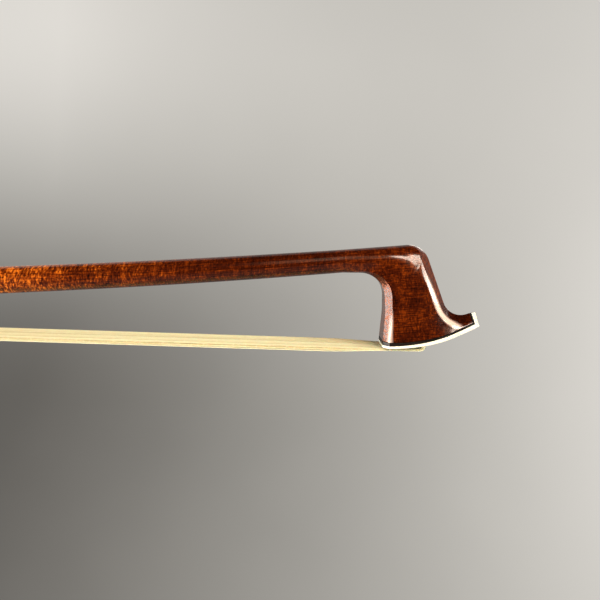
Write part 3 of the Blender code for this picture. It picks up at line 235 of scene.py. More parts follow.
# How finely the turned and lofted pieces are divided, and how their edges are rounded
HANDLE_RINGS = 12
STICK_RINGS = 110
HEAD_RINGS = 104
LEATHER_RINGS = 90
LEATHER_SIDES = 96
BORE_SIDES = 48
MERGED = 1e-7
SHORTEST_STEP = 1e-12
SOLID_MERGED = 1e-6
SHARP_ANGLE = 24.0
STICK_SHARP_ANGLE = 20.0
SOFT_SHARP_ANGLE = 30.0
LEATHER_SHARP_ANGLE = 50.0
ROUND_SHARP_ANGLE = 60.0
FLAT_WITHIN = 0.6
BROAD_FACE = 0.00004
SHALLOWEST_CREASE = 2.0
EDGE_ROUNDING = 0.00018
PLATE_ROUNDING = 0.00010
SOFT_ROUNDING = 0.00012
ROUNDING_STEPS = 2
BROAD_FACES_FIRST = 100

# Camera, in the head's own plane, and its field of view
CAMERA_PLACE = (-0.020382, -0.149026, 0.031492)
CAMERA_YAW = math.radians(-0.104)
CAMERA_PITCH = math.radians(7.972)
CAMERA_ROLL = math.radians(1.787)
CAMERA_LENS = 36.0
SENSOR_WIDTH = 36.0
NEAREST_SEEN = 0.005
PICTURE_GAMMA = 0.82


# Helpers for places
def mix(a, b, share):
    """The value at a share of the way from a to b."""
    return a + (b - a) * share


def ease(value, start, end):
    """Goes smoothly from 0 at start to 1 at end."""
    t = min(max((value - start) / (end - start), 0.0), 1.0)
    return t * t * (3 - 2 * t)


def within(value, rising, falling):
    """Goes smoothly from 0 to 1 over the first span, and back to 0 over the second."""
    return ease(value, *rising) * (1 - ease(value, *falling))


def rounded_path(corners, radii, arc_steps=20):
    """A path through 2-D corners, with each inner corner replaced by an arc of its radius."""
    points = [Vector(corners[0])]
    for before, corner, after, radius in zip(corners, corners[1:], corners[2:], radii):
        corner = Vector(corner)
        back = (Vector(before) - corner).normalized()
        on = (Vector(after) - corner).normalized()
        half = back.angle(on) / 2
        reach = radius / math.tan(half)
        middle = corner + (back + on).normalized() * radius / math.sin(half)
        start = corner + back * reach - middle
        sweep = start.angle_signed(corner + on * reach - middle)
        for i in range(arc_steps + 1):
            points.append(middle + Matrix.Rotation(-sweep * i / arc_steps, 2) @ start)
    points.append(Vector(corners[-1]))
    return points


class Path:
    """A polyline that gives the point at a distance along it."""

    def __init__(self, points):
        self.points = points
        self.ends = [0.0]
        for a, b in zip(points, points[1:]):
            self.ends.append(self.ends[-1] + (b - a).length)
        self.length = self.ends[-1]

    def at(self, distance):
        """The point at a distance along the line."""
        distance = min(max(distance, 0.0), self.length)
        for i, end in enumerate(self.ends[1:]):
            if distance <= end:
                share = (distance - self.ends[i]) / max(end - self.ends[i], SHORTEST_STEP)
                return self.points[i].lerp(self.points[i + 1], share)
        return self.points[-1].copy()


def hair_angle():
    """The hair's rise over the handle's axis, from the place where the stick meets the head."""
    along = HAIR_LENGTH - JOIN_BACK
    up = JOIN_HEIGHT + HAIR_BELOW_PLATE
    rise = CAMBER_RISE + HAIR_DEPTH
    return math.asin(rise / math.hypot(along, up)) - math.atan2(up, along)


HAIR_ANGLE = hair_angle()


def turned_up(point):
    """From the hair's direction and across it to the bow's X and Z."""
    x, z = point
    cosine, sine = math.cos(HAIR_ANGLE), math.sin(HAIR_ANGLE)
    return Vector((x * cosine - z * sine, x * sine + z * cosine))


HAIR_START = Vector((FROG_REAR + FERRULE_MOUTH, -HAIR_DEPTH))
HEAD_ORIGIN = HAIR_START + turned_up((HAIR_LENGTH, HAIR_BELOW_PLATE))
JOIN = HEAD_ORIGIN + turned_up((-JOIN_BACK, JOIN_HEIGHT))


def head_point(x, y, z):
    """From the head's own plane to the bow's frame."""
    flat = HEAD_ORIGIN + turned_up((x, z))
    return Vector((flat.x, y, flat.y))


def in_head_plane(point):
    """How far a point of the bow lies along the hair from the throat, and over the plate."""
    local = point - Vector((HEAD_ORIGIN.x, 0.0, HEAD_ORIGIN.y))
    cosine, sine = math.cos(HAIR_ANGLE), math.sin(HAIR_ANGLE)
    return local.x * cosine + local.z * sine, local.z * cosine - local.x * sine


# Helpers for meshes
def shown(name, bm, finish, sharp=SHARP_ANGLE):
    """Turns a bmesh into an object, smooth but for the edges that bend more than sharp degrees."""
    bmesh.ops.remove_doubles(bm, verts=bm.verts, dist=MERGED)
    bmesh.ops.recalc_face_normals(bm, faces=bm.faces)
    mesh = bpy.data.meshes.new(name)
    bm.to_mesh(mesh)
    bm.free()
    mesh.shade_smooth()
    mesh.set_sharp_from_angle(angle=math.radians(sharp))
    made = bpy.data.objects.new(name, mesh)
    bpy.context.scene.collection.objects.link(made)
    if finish:
        mesh.materials.append(finish)
    return made


def loft_faces(bm, rings):
    """Lofts through rings of equally many points, and returns the rows of vertices."""
    rows = [[bm.verts.new(point) for point in ring] for ring in rings]
    count = len(rows[0])
    for row, after in zip(rows, rows[1:]):
        for i in range(count):
            j = (i + 1) % count
            bm.faces.new((row[i], row[j], after[j], after[i]))
    return rows


def loft(rings):
    """A closed solid through rings of equally many points, with a flat face at each end."""
    bm = bmesh.new()
    rows = loft_faces(bm, rings)
    bm.faces.new(rows[0])
    bm.faces.new(rows[-1])
    return bm


def bore(start, end, radius):
    """A round tool along the X axis."""
    turns = [math.tau * i / BORE_SIDES for i in range(BORE_SIDES)]
    round_places = [(radius * math.sin(a), -radius * math.cos(a)) for a in turns]
    return loft([[Vector((x, y, z)) for y, z in round_places] for x in (start, end)])


def box(low, high):
    """A box between two opposite corners."""
    (x0, y0, z0), (x1, y1, z1) = low, high
    corners = [(y0, z0), (y1, z0), (y1, z1), (y0, z1)]
    return loft([[Vector((x, y, z)) for y, z in corners] for x in (x0, x1)])


def cut(target, tool_mesh):
    """Cuts a tool shape from the target when the target is baked."""
    tool = shown(target.name + "_tool", tool_mesh, None)
    step = target.modifiers.new("cut", "BOOLEAN")
    step.operation = "DIFFERENCE"
    step.solver = "EXACT"
    step.object = tool
    return tool


def round_edges(target, width, angle):
    """Rounds the edges that bend more than an angle in degrees, and keeps flat faces flat."""
    step = target.modifiers.new("edges", "BEVEL")
    step.limit_method = "ANGLE"
    step.angle_limit = math.radians(angle)
    step.width = width
    step.segments = ROUNDING_STEPS
    even = target.modifiers.new("flat_faces_stay_flat", "WEIGHTED_NORMAL")
    even.keep_sharp = True
    even.weight = BROAD_FACES_FIRST


def baked(source, tools=()):
    """The evaluated shape as a plain mesh object of the same name, with its modifiers gone."""
    bpy.context.view_layer.update()
    name = source.name
    evaluated = source.evaluated_get(bpy.context.evaluated_depsgraph_get())
    mesh = bpy.data.meshes.new_from_object(evaluated)
    source.name = name + "_source"
    made = bpy.data.objects.new(name, mesh)
    mesh.name = name
    bpy.context.scene.collection.objects.link(made)
    for old in (source, *tools):
        bpy.data.objects.remove(old)
    return made


def placed(piece, body, slot, *nodes):
    """Rides a finished piece on its body, in place of the nodes that it stands for."""
    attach(piece, body)
    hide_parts(*nodes)


# Node trees
class Signal:
    """One output socket. Arithmetic on it adds Math nodes to its tree."""

    def __init__(self, tree, socket):
        self.tree = tree
        self.socket = socket

    def worked_out(self, operation, first, second):
        return self.tree.node("ShaderNodeMath", {"operation": operation}, [first, second])

    def __add__(self, other):
        return self.worked_out("ADD", self, other)

    def __radd__(self, other):
        return self.worked_out("ADD", other, self)

    def __sub__(self, other):
        return self.worked_out("SUBTRACT", self, other)

    def __rsub__(self, other):
        return self.worked_out("SUBTRACT", other, self)

    def __mul__(self, other):
        return self.worked_out("MULTIPLY", self, other)

    def __rmul__(self, other):
        return self.worked_out("MULTIPLY", other, self)

    def __truediv__(self, other):
        return self.worked_out("DIVIDE", self, other)

    def __pow__(self, other):
        return self.worked_out("POWER", self, other)


class Tree:
    """A node tree that is written as calls."""

    def __init__(self, tree):
        self.tree = tree

    def node(self, kind, settings=None, sockets=(), out=0):
        """Adds a node: first its settings, then the values or links of its sockets."""
        made = self.tree.nodes.new(kind)
        for name, value in (settings or {}).items():
            if name == "stops":
                self.fill_ramp(made.color_ramp, value)
            else:
                setattr(made, name, value)
        pairs = sockets.items() if isinstance(sockets, dict) else enumerate(sockets)
        for key, value in pairs:
            self.put(made.inputs[key], value)
        return Signal(self, made.outputs[out])

    def put(self, socket, value):
        """Links a signal to a socket, or sets the socket's own value."""
        if isinstance(value, Signal):
            self.tree.links.new(value.socket, socket)
        else:
            socket.default_value = value

    @staticmethod
    def fill_ramp(ramp, stops):
        """Gives a colour ramp its stops."""
        while len(ramp.elements) < len(stops):
            ramp.elements.new(1.0)
        for element, (place, colour) in zip(ramp.elements, stops):
            element.position = place
            element.color = (*colour, 1.0)


class Finish(Tree):
    """A material round one Principled BSDF, whose constants are set on its own sockets."""

    def __init__(self, name, constants):
        self.material = bpy.data.materials.new(name)
        self.material.use_nodes = True
        super().__init__(self.material.node_tree)
        self.shader = self.tree.nodes["Principled BSDF"]
        for socket, value in constants.items():
            self.shader.inputs[socket].default_value = value

    def place(self):
        return self.node("ShaderNodeTexCoord", out="Object")

    def attribute(self, name, out="Vector"):
        return self.node("ShaderNodeAttribute", {"attribute_name": name}, (), out)

    def scaled(self, place, by):
        return self.node("ShaderNodeVectorMath", {"operation": "MULTIPLY"}, [place, by], "Vector")

    def parts(self, place):
        """The three coordinates of a place."""
        made = self.tree.nodes.new("ShaderNodeSeparateXYZ")
        self.put(made.inputs[0], place)
        return [Signal(self, made.outputs[i]) for i in range(3)]

    def noise(self, place, scale, detail=3.0, roughness=0.5, distortion=0.0):
        settings = {"Vector": place, "Scale": scale, "Detail": detail}
        settings |= {"Roughness": roughness, "Distortion": distortion}
        return self.node("ShaderNodeTexNoise", {}, settings, "Fac")

    def figured(self, place, scales, detail=3.0, roughness=0.5, distortion=0.0):
        """Noise that changes at a different rate along, across and up."""
        return self.noise(self.scaled(place, scales), 1.0, detail, roughness, distortion)

    def cell_walls(self, place, scale):
        """The distance to the nearest wall between cells."""
        settings = {"feature": "DISTANCE_TO_EDGE"}
        return self.node("ShaderNodeTexVoronoi", settings, {"Vector": place, "Scale": scale}, "Distance")

    def spread(self, value, low, high, to_low=0.0, to_high=1.0):
        """The value stretched from one range to another, and held inside it."""
        return self.node("ShaderNodeMapRange", {}, [value, low, high, to_low, to_high])

    def ramp(self, value, stops):
        return self.node("ShaderNodeValToRGB", {"stops": stops}, {"Fac": value}, "Color")

    def blend(self, share, first, second):
        """A share of the way from one colour to another."""
        first = first if isinstance(first, Signal) else (*first, 1.0)
        second = second if isinstance(second, Signal) else (*second, 1.0)
        return self.node("ShaderNodeMix", {"data_type": "RGBA"}, {0: share, 6: first, 7: second}, 2)

    def bump(self, height, depth, strength):
        sockets = {"Height": height, "Distance": depth, "Strength": strength}
        return self.node("ShaderNodeBump", {}, sockets, "Normal")

    def surface(self, **links):
        """Links the sockets of the shader that vary over the surface."""
        for name, value in links.items():
            self.put(self.shader.inputs[name.replace("_", " ")], value)
        return self.material


# Colours of the finishes. A ramp's stops are pairs of a value and a colour
WOOD_TONES = [(0.12, (0.014, 0.0018, 0.0004)), (0.40, (0.060, 0.0088, 0.0008))]
WOOD_TONES += [(0.62, (0.19, 0.038, 0.0026)), (0.95, (0.70, 0.215, 0.020))]
WOOD_PORE = (0.010, 0.0015, 0.0008)
RUBBED_WOOD_AND_PAINTED_SHEEN = (0.55, 0.25, 0.16)
PAINTED_HIGHLIGHT_COLOUR = (0.74, 0.58, 0.50)
BONE_TONES = [(0.3, (0.74, 0.70, 0.58)), (0.7, (0.80, 0.775, 0.69))]
BONE_PORE = (0.45, 0.36, 0.24)
BONE_GRIME = (0.60, 0.52, 0.38)
EBONY_TONES = [(0.45, (0.006, 0.005, 0.005)), (0.75, (0.030, 0.017, 0.011))]
EBONY_PORE = (0.05, 0.042, 0.038)
SILVER, SILVER_TARNISH = (0.90, 0.89, 0.86), (0.58, 0.54, 0.46)
BRASS, BRASS_TARNISH = (0.83, 0.63, 0.28), (0.45, 0.30, 0.12)
STEEL, STEEL_TARNISH = (0.56, 0.57, 0.58), (0.32, 0.31, 0.30)
PEARL_TONES = [(0.0, (0.42, 0.48, 0.45)), (0.22, (0.28, 0.44, 0.39)), (0.45, (0.56, 0.56, 0.53))]
PEARL_TONES += [(0.62, (0.54, 0.35, 0.40)), (0.80, (0.32, 0.40, 0.55)), (1.0, (0.42, 0.48, 0.45))]
MAPLE_TONES = [(0.35, (0.48, 0.31, 0.16)), (0.65, (0.72, 0.54, 0.33))]
MAPLE_FLECK = (0.36, 0.21, 0.10)
HAIR_TONES = [(0.05, (0.46, 0.38, 0.20)), (0.28, (0.63, 0.56, 0.36)), (0.75, (0.72, 0.68, 0.48))]
ROSIN_DUST = (0.82, 0.78, 0.62)
HAIR_PAINTED_SHADE = (0.42, 0.28, 0.12)
LEATHER_TONES = [(0.35, (0.012, 0.007, 0.005)), (0.7, (0.055, 0.026, 0.015))]
LEATHER_HOLLOW = (0.006, 0.004, 0.003)
PAPER_TONES = [(0.3, (0.095, 0.094, 0.090)), (0.7, (0.105, 0.104, 0.100))]
PAPER_GLOW = [(0.0, (0.0, 0.0, 0.0)), (0.5, (0.50, 0.49, 0.465)), (1.0, (1.0, 0.97, 0.93))]

# The wood's tone: each pattern's weight, its lift where light is painted on the stick, and the figure left
# outside that painted light
FIGURE_WEIGHT = 1.3
BAND_WEIGHT = 1.7
CLOUD_WEIGHT = 0.5
FIBRE_WEIGHT = 0.75
PAINTED_LIGHT_LIFT = 0.46
WOOD_DARKENING = 0.11
UNLIT_FIGURE_STRENGTH = 0.35

# Places on the bow, in metres along it or to its side, between which the painted light on its wood and the
# painted shade on its hair change
STICK_PAINTED_LIGHT = (0.35, 0.52)
PAINTED_LIGHT_FADE = (0.585, 0.672)
HAIR_SHADE_SPAN = (0.685, 0.712)
HAIR_SHADE_SIDE = (0.0005, 0.0045)

# Places on the backdrop, in metres, between which its tone changes
RIGHT_SPAN = (-0.15, 1.75)
TOP_SPAN = (-0.62, 0.60)
PALE_BAND = (1.8, 1.95)
GREY_END = (2.2, 2.6)
WALL_FOOT = (0.7, 1.3)
FLOOR_SPAN = (-0.5, 0.9)

# The backdrop's shade: what each part adds to it or takes from it, and how steeply it falls
PAPER_SHADE = 0.09
RIGHT_GLOW, RIGHT_FALL = 0.55, 1.3
TOP_LEFT_GLOW, LEFT_FALL = 0.60, 1.4
FIBRE_SHADE = 0.02
BAND_GLOW = 0.3
END_SHADE = 0.65


# Finishes. A pattern's three scales are how often it changes in a metre: along, across and up
def varnished_wood():
    """Red-brown bow wood under clear varnish: cross figure, long fibres, pores, worn edges that are partly a
    painted sheen, painted highlight lines along two edges, and painted light along part of the stick.
    """
    clear = {"Coat Roughness": 0.13, "Coat IOR": 1.6}
    wood = Finish("varnished_pernambuco", {"IOR": 1.5, "Specular IOR Level": 0.04} | clear)
    grain = wood.attribute("grain")
    along = wood.parts(grain)[0]
    figure = wood.figured(grain, (520.0, 170.0, 130.0), detail=3.0, roughness=0.65, distortion=0.9)
    bands = wood.figured(grain, (2300.0, 1000.0, 900.0), detail=2.0, roughness=0.6, distortion=0.35)
    fibres = wood.figured(grain, (130.0, 3600.0, 3600.0), detail=4.0, roughness=0.65)
    pores = wood.figured(grain, (900.0, 7500.0, 7500.0), detail=1.0)
    clouds = wood.figured(grain, (60.0, 110.0, 110.0), detail=2.0)
    # Painted light: over a span along the stick the wood is paler and more strongly figured, as where light
    # falls on it
    glow = wood.spread(along, *PAINTED_LIGHT_FADE, 1.0, 0.0) * wood.spread(along, *STICK_PAINTED_LIGHT)
    strength = UNLIT_FIGURE_STRENGTH + glow * (1 - UNLIT_FIGURE_STRENGTH)
    tone = 0.5 + ((figure - 0.5) * FIGURE_WEIGHT + (bands - 0.5) * BAND_WEIGHT) * strength
    tone = tone + (clouds - 0.5) * CLOUD_WEIGHT + (fibres - 0.5) * FIBRE_WEIGHT
    tone = tone + glow * PAINTED_LIGHT_LIFT - WOOD_DARKENING
    colour = wood.ramp(tone, WOOD_TONES)
    pits = wood.spread(pores, 0.58, 0.66)
    colour = wood.blend(pits * 0.7, colour, WOOD_PORE)
    worn_and_painted_sheen = wood.attribute("wear", "Fac")
    patches = wood.figured(grain, (2300.0, 1900.0, 1900.0), detail=2.0, roughness=0.6)
    # Rubbed patches on the throat's chamfer: real wear in roughness, coat and bump, with a paler colour that
    # is partly a painted sheen
    rubbed_and_sheen = worn_and_painted_sheen * wood.spread(patches, 0.47, 0.56)
    colour = wood.blend(rubbed_and_sheen * 0.5, colour, RUBBED_WOOD_AND_PAINTED_SHEEN)
    # Painted highlight: pale lines along the nose's cheek edge and along the throat chamfer's edge
    colour = wood.blend(wood.attribute("pale_edge", "Fac") * 0.9, colour, PAINTED_HIGHLIGHT_COLOUR)
    rough = 0.26 + rubbed_and_sheen * 0.10 + fibres * 0.10
    coat = 1 - rubbed_and_sheen * 0.8 - pits * 0.4
    height_map = (fibres - 0.5) * 0.35 - pits * 0.6 + (bands - 0.5) * 0.2 - rubbed_and_sheen * 0.9
    normal = wood.bump(height_map, depth=0.00003, strength=0.5)
    return wood.surface(Base_Color=colour, Roughness=rough, Coat_Weight=coat * 0.9, Normal=normal)


def carved_bone():
    """Pale polished bone with faint streaks along it and a few fine pores."""
    bone = Finish("polished_bone", {"IOR": 1.54, "Subsurface Weight": 0.12, "Subsurface Scale": 0.001})
    place = bone.place()
    streaks = bone.figured(place, (120.0, 1500.0, 900.0), detail=3.0)
    pores = bone.figured(place, (1500.0, 6000.0, 6000.0), detail=1.0)
    grime = bone.noise(place, scale=420.0, detail=3.0, roughness=0.6)
    pits = bone.spread(pores, 0.66, 0.74)
    colour = bone.ramp(streaks, BONE_TONES)
    colour = bone.blend(pits * 0.5, colour, BONE_PORE)
    colour = bone.blend(bone.spread(grime, 0.55, 0.8) * 0.25, colour, BONE_GRIME)
    normal = bone.bump(streaks - pits, depth=0.00002, strength=0.4)
    return bone.surface(Base_Color=colour, Roughness=0.26 + grime * 0.2, Normal=normal)


def ebony_wood():
    """Near-black close wood, with brown streaks and fine open pores along it."""
    polish = {"Coat Weight": 0.1, "Coat Roughness": 0.25}
    ebony = Finish("ebony", {"IOR": 1.5, "Specular IOR Level": 0.35} | polish)
    place = ebony.place()
    streaks = ebony.figured(place, (30.0, 900.0, 900.0), detail=3.0, roughness=0.6)
    pores = ebony.figured(place, (650.0, 7500.0, 7500.0), detail=1.0)
    pits = ebony.spread(pores, 0.62, 0.70)
    colour = ebony.ramp(streaks, EBONY_TONES)
    colour = ebony.blend(pits * 0.6, colour, EBONY_PORE)
    handling_and_shade = ebony.noise(place, scale=90.0, detail=3.0)
    normal = ebony.bump(streaks * 0.3 - pits, depth=0.00002, strength=0.6)
    return ebony.surface(Base_Color=colour, Roughness=0.26 + handling_and_shade * 0.2, Normal=normal)


def worked_metal(name, bright, dull, roughness, scratches):
    """Metal with cloudy patches of tarnish, fine scratches along it and uneven polish."""
    metal = Finish(name, {"Metallic": 1.0})
    place = metal.place()
    clouds = metal.noise(place, scale=160.0, detail=4.0, roughness=0.6)
    lines = metal.figured(place, (300.0, 9000.0, 9000.0), detail=2.0)
    crossed = metal.figured(place, (9000.0, 500.0, 7000.0), detail=2.0)
    tarnish = metal.spread(clouds, 0.48, 0.72)
    colour = metal.blend(tarnish * 0.7, bright, dull)
    normal = metal.bump(lines + crossed * 0.5, depth=0.00001, strength=scratches)
    rough = roughness + tarnish * 0.16 + lines * 0.10
    return metal.surface(Base_Color=colour, Roughness=rough, Normal=normal)


def mother_of_pearl():
    """Nacre: warped layers that pass through pale green, pink and blue under a clear polish."""
    pearl = Finish("mother_of_pearl", {"IOR": 1.55, "Coat Weight": 0.8, "Coat Roughness": 0.06})
    place = pearl.place()
    warp = pearl.noise(place, scale=240.0, detail=3.0, roughness=0.6, distortion=1.5)
    layers = pearl.figured(place, (350.0, 700.0, 350.0), detail=2.0, roughness=0.5, distortion=2.0)
    phase = pearl.node("ShaderNodeMath", {"operation": "FRACT"}, [warp * 2.0 + layers * 2.0])
    colour = pearl.ramp(phase, PEARL_TONES)
    normal = pearl.bump(layers, depth=0.00004, strength=0.4)
    return pearl.surface(Base_Color=colour, Roughness=0.18 + warp * 0.14, Normal=normal)


def plain_maple():
    """Pale, fine-grained wood with small flecks, for the plugs and the wedge."""
    maple = Finish("maple", {"IOR": 1.5})
    place = maple.place()
    rings = maple.figured(place, (90.0, 2400.0, 1100.0), detail=3.0, roughness=0.6)
    flecks = maple.figured(place, (2500.0, 6000.0, 2500.0), detail=1.0)
    colour = maple.ramp(rings, MAPLE_TONES)
    colour = maple.blend(maple.spread(flecks, 0.6, 0.75) * 0.4, colour, MAPLE_FLECK)
    normal = maple.bump(rings + flecks, depth=0.00003, strength=0.5)
    return maple.surface(Base_Color=colour, Roughness=0.5 + rings * 0.2, Normal=normal)


def horsehair():
    """Pale hairs, each a little lighter or browner than the next, dusted, and browner near the head on the
    ribbon's far side as painted shade.
    """
    hair = Finish("horsehair", {"IOR": 1.55, "Subsurface Weight": 0.15, "Subsurface Scale": 0.0006})
    place = hair.place()
    tone = hair.attribute("tone", "Fac")
    ageing = hair.figured(place, (45.0, 2500.0, 2500.0), detail=2.0)
    dust = hair.noise(place, scale=1400.0, detail=2.0)
    colour = hair.ramp(tone * 0.7 + ageing * 0.3, HAIR_TONES)
    colour = hair.blend(hair.spread(dust, 0.5, 0.7) * 0.25, colour, ROSIN_DUST)
    along, across, _ = hair.parts(place)
    # Painted shade: the hairs are darker brown near the head, on the ribbon's far side
    handling_and_shade = hair.spread(along, *HAIR_SHADE_SPAN) * hair.spread(across, *HAIR_SHADE_SIDE)
    colour = hair.blend(handling_and_shade * 0.6, colour, HAIR_PAINTED_SHADE)
    normal = hair.bump(dust, depth=0.00002, strength=0.3)
    return hair.surface(Base_Color=colour, Roughness=0.38 + dust * 0.25, Normal=normal)


def grip_leather():
    """Dark brown goatskin: cells of grain, creases round the grip and a polish where the thumb rests."""
    skin = Finish("grip_leather", {"IOR": 1.45})
    place = skin.place()
    walls = skin.cell_walls(skin.scaled(place, (1.0, 1.3, 1.3)), scale=2100.0)
    creases = skin.figured(place, (900.0, 260.0, 260.0), detail=3.0, roughness=0.6)
    patches = skin.noise(place, scale=120.0, detail=3.0)
    grain = skin.spread(walls, 0.0, 0.16)
    colour = skin.ramp(patches * 0.6 + creases * 0.4, LEATHER_TONES)
    colour = skin.blend((1 - grain) * 0.6, colour, LEATHER_HOLLOW)
    rubbed_and_sheen = skin.spread(patches, 0.45, 0.65)
    normal = skin.bump(grain * 0.8 + creases * 0.5, depth=0.00012, strength=0.7)
    return skin.surface(Base_Color=colour, Roughness=0.62 - rubbed_and_sheen * 0.22, Normal=normal)


def plain_backdrop():
    """Grey paper that glows: paler to the right and at the top left, and darker low on the left.

    Past the right of the picture it has a pale band and a grey end, which the varnish mirrors.
    """
    paper = Finish("backdrop_paper", {"Specular IOR Level": 0.1, "Emission Strength": 1.0})
    x, y, z = paper.parts(paper.place())
    fibre = paper.noise(paper.place(), scale=2.0, detail=2.0)
    right = paper.spread(x, *RIGHT_SPAN)
    left = (1 - right) ** LEFT_FALL
    top = paper.node("ShaderNodeMapRange", {"interpolation_type": "SMOOTHSTEP"}, [z, *TOP_SPAN])
    shade = PAPER_SHADE + right ** RIGHT_FALL * RIGHT_GLOW + left * top * TOP_LEFT_GLOW
    shade = shade + (fibre - 0.5) * FIBRE_SHADE
    aside = paper.spread(x, *PALE_BAND, 0.0, BAND_GLOW) - paper.spread(x, *GREY_END, 0.0, END_SHADE)
    shade = (shade + aside * paper.spread(y, *WALL_FOOT)) * paper.spread(y, *FLOOR_SPAN, 0.6, 1.0)
    glow = paper.ramp(shade, PAPER_GLOW)
    colour = paper.ramp(fibre, PAPER_TONES)
    return paper.surface(Base_Color=colour, Emission_Color=glow, Roughness=0.8 + fibre * 0.1)


finishes = {
    "pernambuco": varnished_wood(),
    "bone": carved_bone(),
    "ebony": ebony_wood(),
    "silver": worked_metal("silver", SILVER, SILVER_TARNISH, roughness=0.20, scratches=0.35),
    "brass": worked_metal("brass", BRASS, BRASS_TARNISH, roughness=0.26, scratches=0.40),
    "steel": worked_metal("steel", STEEL, STEEL_TARNISH, roughness=0.28, scratches=0.45),
    "pearl": mother_of_pearl(),
    "maple": plain_maple(),
    "horsehair": horsehair(),
    "leather": grip_leather(),
}


# Stick
def bend_share(x):
    """How far a place lies through the bent part of the stick."""
    return max((x - CAMBER_START) / (JOIN.x - CAMBER_START), 0.0)


def centre_height(x):
    return CAMBER_RISE * bend_share(x) ** CAMBER_POWER


def centre_angle(x):
    slope = CAMBER_RISE * CAMBER_POWER / (JOIN.x - CAMBER_START)
    return math.atan(slope * bend_share(x) ** (CAMBER_POWER - 1))


def stick_radius(x):
    """The logarithmic taper, from the end of the handle to the head."""
    from_head = max(HEAD_ORIGIN.x - x, 0.0)
    whole = HEAD_ORIGIN.x - HANDLE_END
    share = math.log((from_head + TAPER_OFFSET) / TAPER_OFFSET)
    share /= math.log((whole + TAPER_OFFSET) / TAPER_OFFSET)
    return mix(TIP_DIAMETER, ROUND_BUTT_DIAMETER, share) / 2


def stick_reach(x, angle, proud=0.0):
    """From the stick's centre line to its surface, at an angle from straight down."""
    eighth = math.tau / 8
    off = (angle + eighth / 2) % eighth - eighth / 2
    roundness = ease(x, HANDLE_END - ROUNDING_LENGTH, HANDLE_END)
    return mix((APOTHEM + proud) / math.cos(off), stick_radius(x) + proud, roundness)


def stick_point(x, angle, reach):
    """A point of the stick's section at x, square to its bent centre line."""
    tilt = centre_angle(x)
    across, up = reach * math.sin(angle), -reach * math.cos(angle)
    return Vector((x - up * math.sin(tilt), across, centre_height(x) + up * math.cos(tilt)))


def stick_section(x):
    return [stick_point(x, angle, stick_reach(x, angle)) for angle in ANGLES]


# Head
def foot_height(x):
    """Height of the plate's outer face over the hair's direction, on its long arc."""
    run = max(x - FOOT_TANGENT, 0.0)
    return FOOT_RADIUS - math.sqrt(FOOT_RADIUS**2 - run**2)


def foot_slope(x):
    """The angle of the plate's outer face at x."""
    return math.asin(max(x - FOOT_TANGENT, 0.0) / FOOT_RADIUS)


def foot_corner(depth):
    """Where the foot's arc meets the beak's front, depth below the plate's outer faces."""
    outer = Vector((BEAK_FOOT, foot_height(BEAK_FOOT)))
    lean = (Vector(BEAK_TOP) - outer).normalized()
    slope = foot_slope(BEAK_FOOT)
    along = Vector((math.cos(slope), math.sin(slope)))
    half = (math.pi - along.angle(lean)) / 2
    return outer + (lean - along).normalized() * depth / math.sin(half), lean


def sole_point(x, depth):
    """The place that lies depth inside the long arc, square to it at x."""
    slope = foot_slope(x)
    return Vector((x - depth * math.sin(slope), foot_height(x) + depth * math.cos(slope)))


def foot_place(column, depth):
    """The foot's point at a column, in the head's plane, depth inside the plate's outer faces."""
    corner, lean = foot_corner(depth)
    throat = Vector((THROAT_WAIST[0] * min(depth / THROAT_WAIST[1], 1.0), foot_height(0.0) + depth))
    if column <= FLAT_EDGE:
        return throat
    if column <= CHEEK_START:
        return throat.lerp(sole_point(THROAT_CHAMFER, depth), column - FLAT_EDGE)
    if column <= CHEEK_END:
        share = (column - CHEEK_START) / (CHEEK_END - CHEEK_START)
        return sole_point(mix(THROAT_CHAMFER, NOSE_TAPER_END, share), depth)
    if column <= FOOT_CORNER:
        share = (column - CHEEK_END) / (FOOT_CORNER - CHEEK_END)
        start = sole_point(NOSE_TAPER_END, depth)
        flat = start.lerp(corner, share)
        return sole_point(flat.x + depth * math.sin(foot_slope(flat.x)), depth) if share < 1 else corner
    top = Vector(BEAK_TOP) - Vector((lean.y, -lean.x)) * depth
    if column <= FACET_EDGE:
        return corner.lerp(top, BEAK_SHOULDER * (column - FOOT_CORNER))
    return corner.lerp(top, mix(BEAK_SHOULDER, 1.0, (column - FACET_EDGE) / (HALF - FACET_EDGE)))


def cheek(x, z):
    """Half the head's width at a place on the cheek."""
    share = max(x - NOSE_TAPER_START, 0.0) / (NOSE_TAPER_END - NOSE_TAPER_START)
    return (HEAD_HALF_WIDTH - CHEEK_SLOPE * z) * (1 - NOSE_TAPER * share**NOSE_TAPER_POWER)


def foot_half(column, depth):
    """Half the foot's width at a column."""
    start = cheek(*foot_place(CHEEK_START, depth))
    flat = start - THROAT_CHAMFER
    if column <= FLAT_EDGE:
        return flat * column / FLAT_EDGE
    if column <= CHEEK_START:
        return mix(flat, start, column - FLAT_EDGE)
    if column <= CHEEK_END:
        return cheek(*foot_place(column, depth))
    edge = cheek(*foot_place(CHEEK_END, depth))
    if column <= FOOT_CORNER:
        return mix(edge, BEAK_BASE_HALF_WIDTH, (column - CHEEK_END) / (FOOT_CORNER - CHEEK_END))
    if column <= FACET_EDGE:
        return mix(BEAK_BASE_HALF_WIDTH, BEAK_HALF_WIDTH, column - FOOT_CORNER)
    return BEAK_HALF_WIDTH * (HALF - column) / (HALF - FACET_EDGE)


def arc_places(path, corner, radius):
    """The lengths along a path at which the arc round a corner starts and ends."""
    reach = radius * ARC_MARGIN
    near = [i for i, place in enumerate(path.points) if (place - Vector(corner)).length < reach]
    return path.ends[near[0]], path.ends[near[-1]]


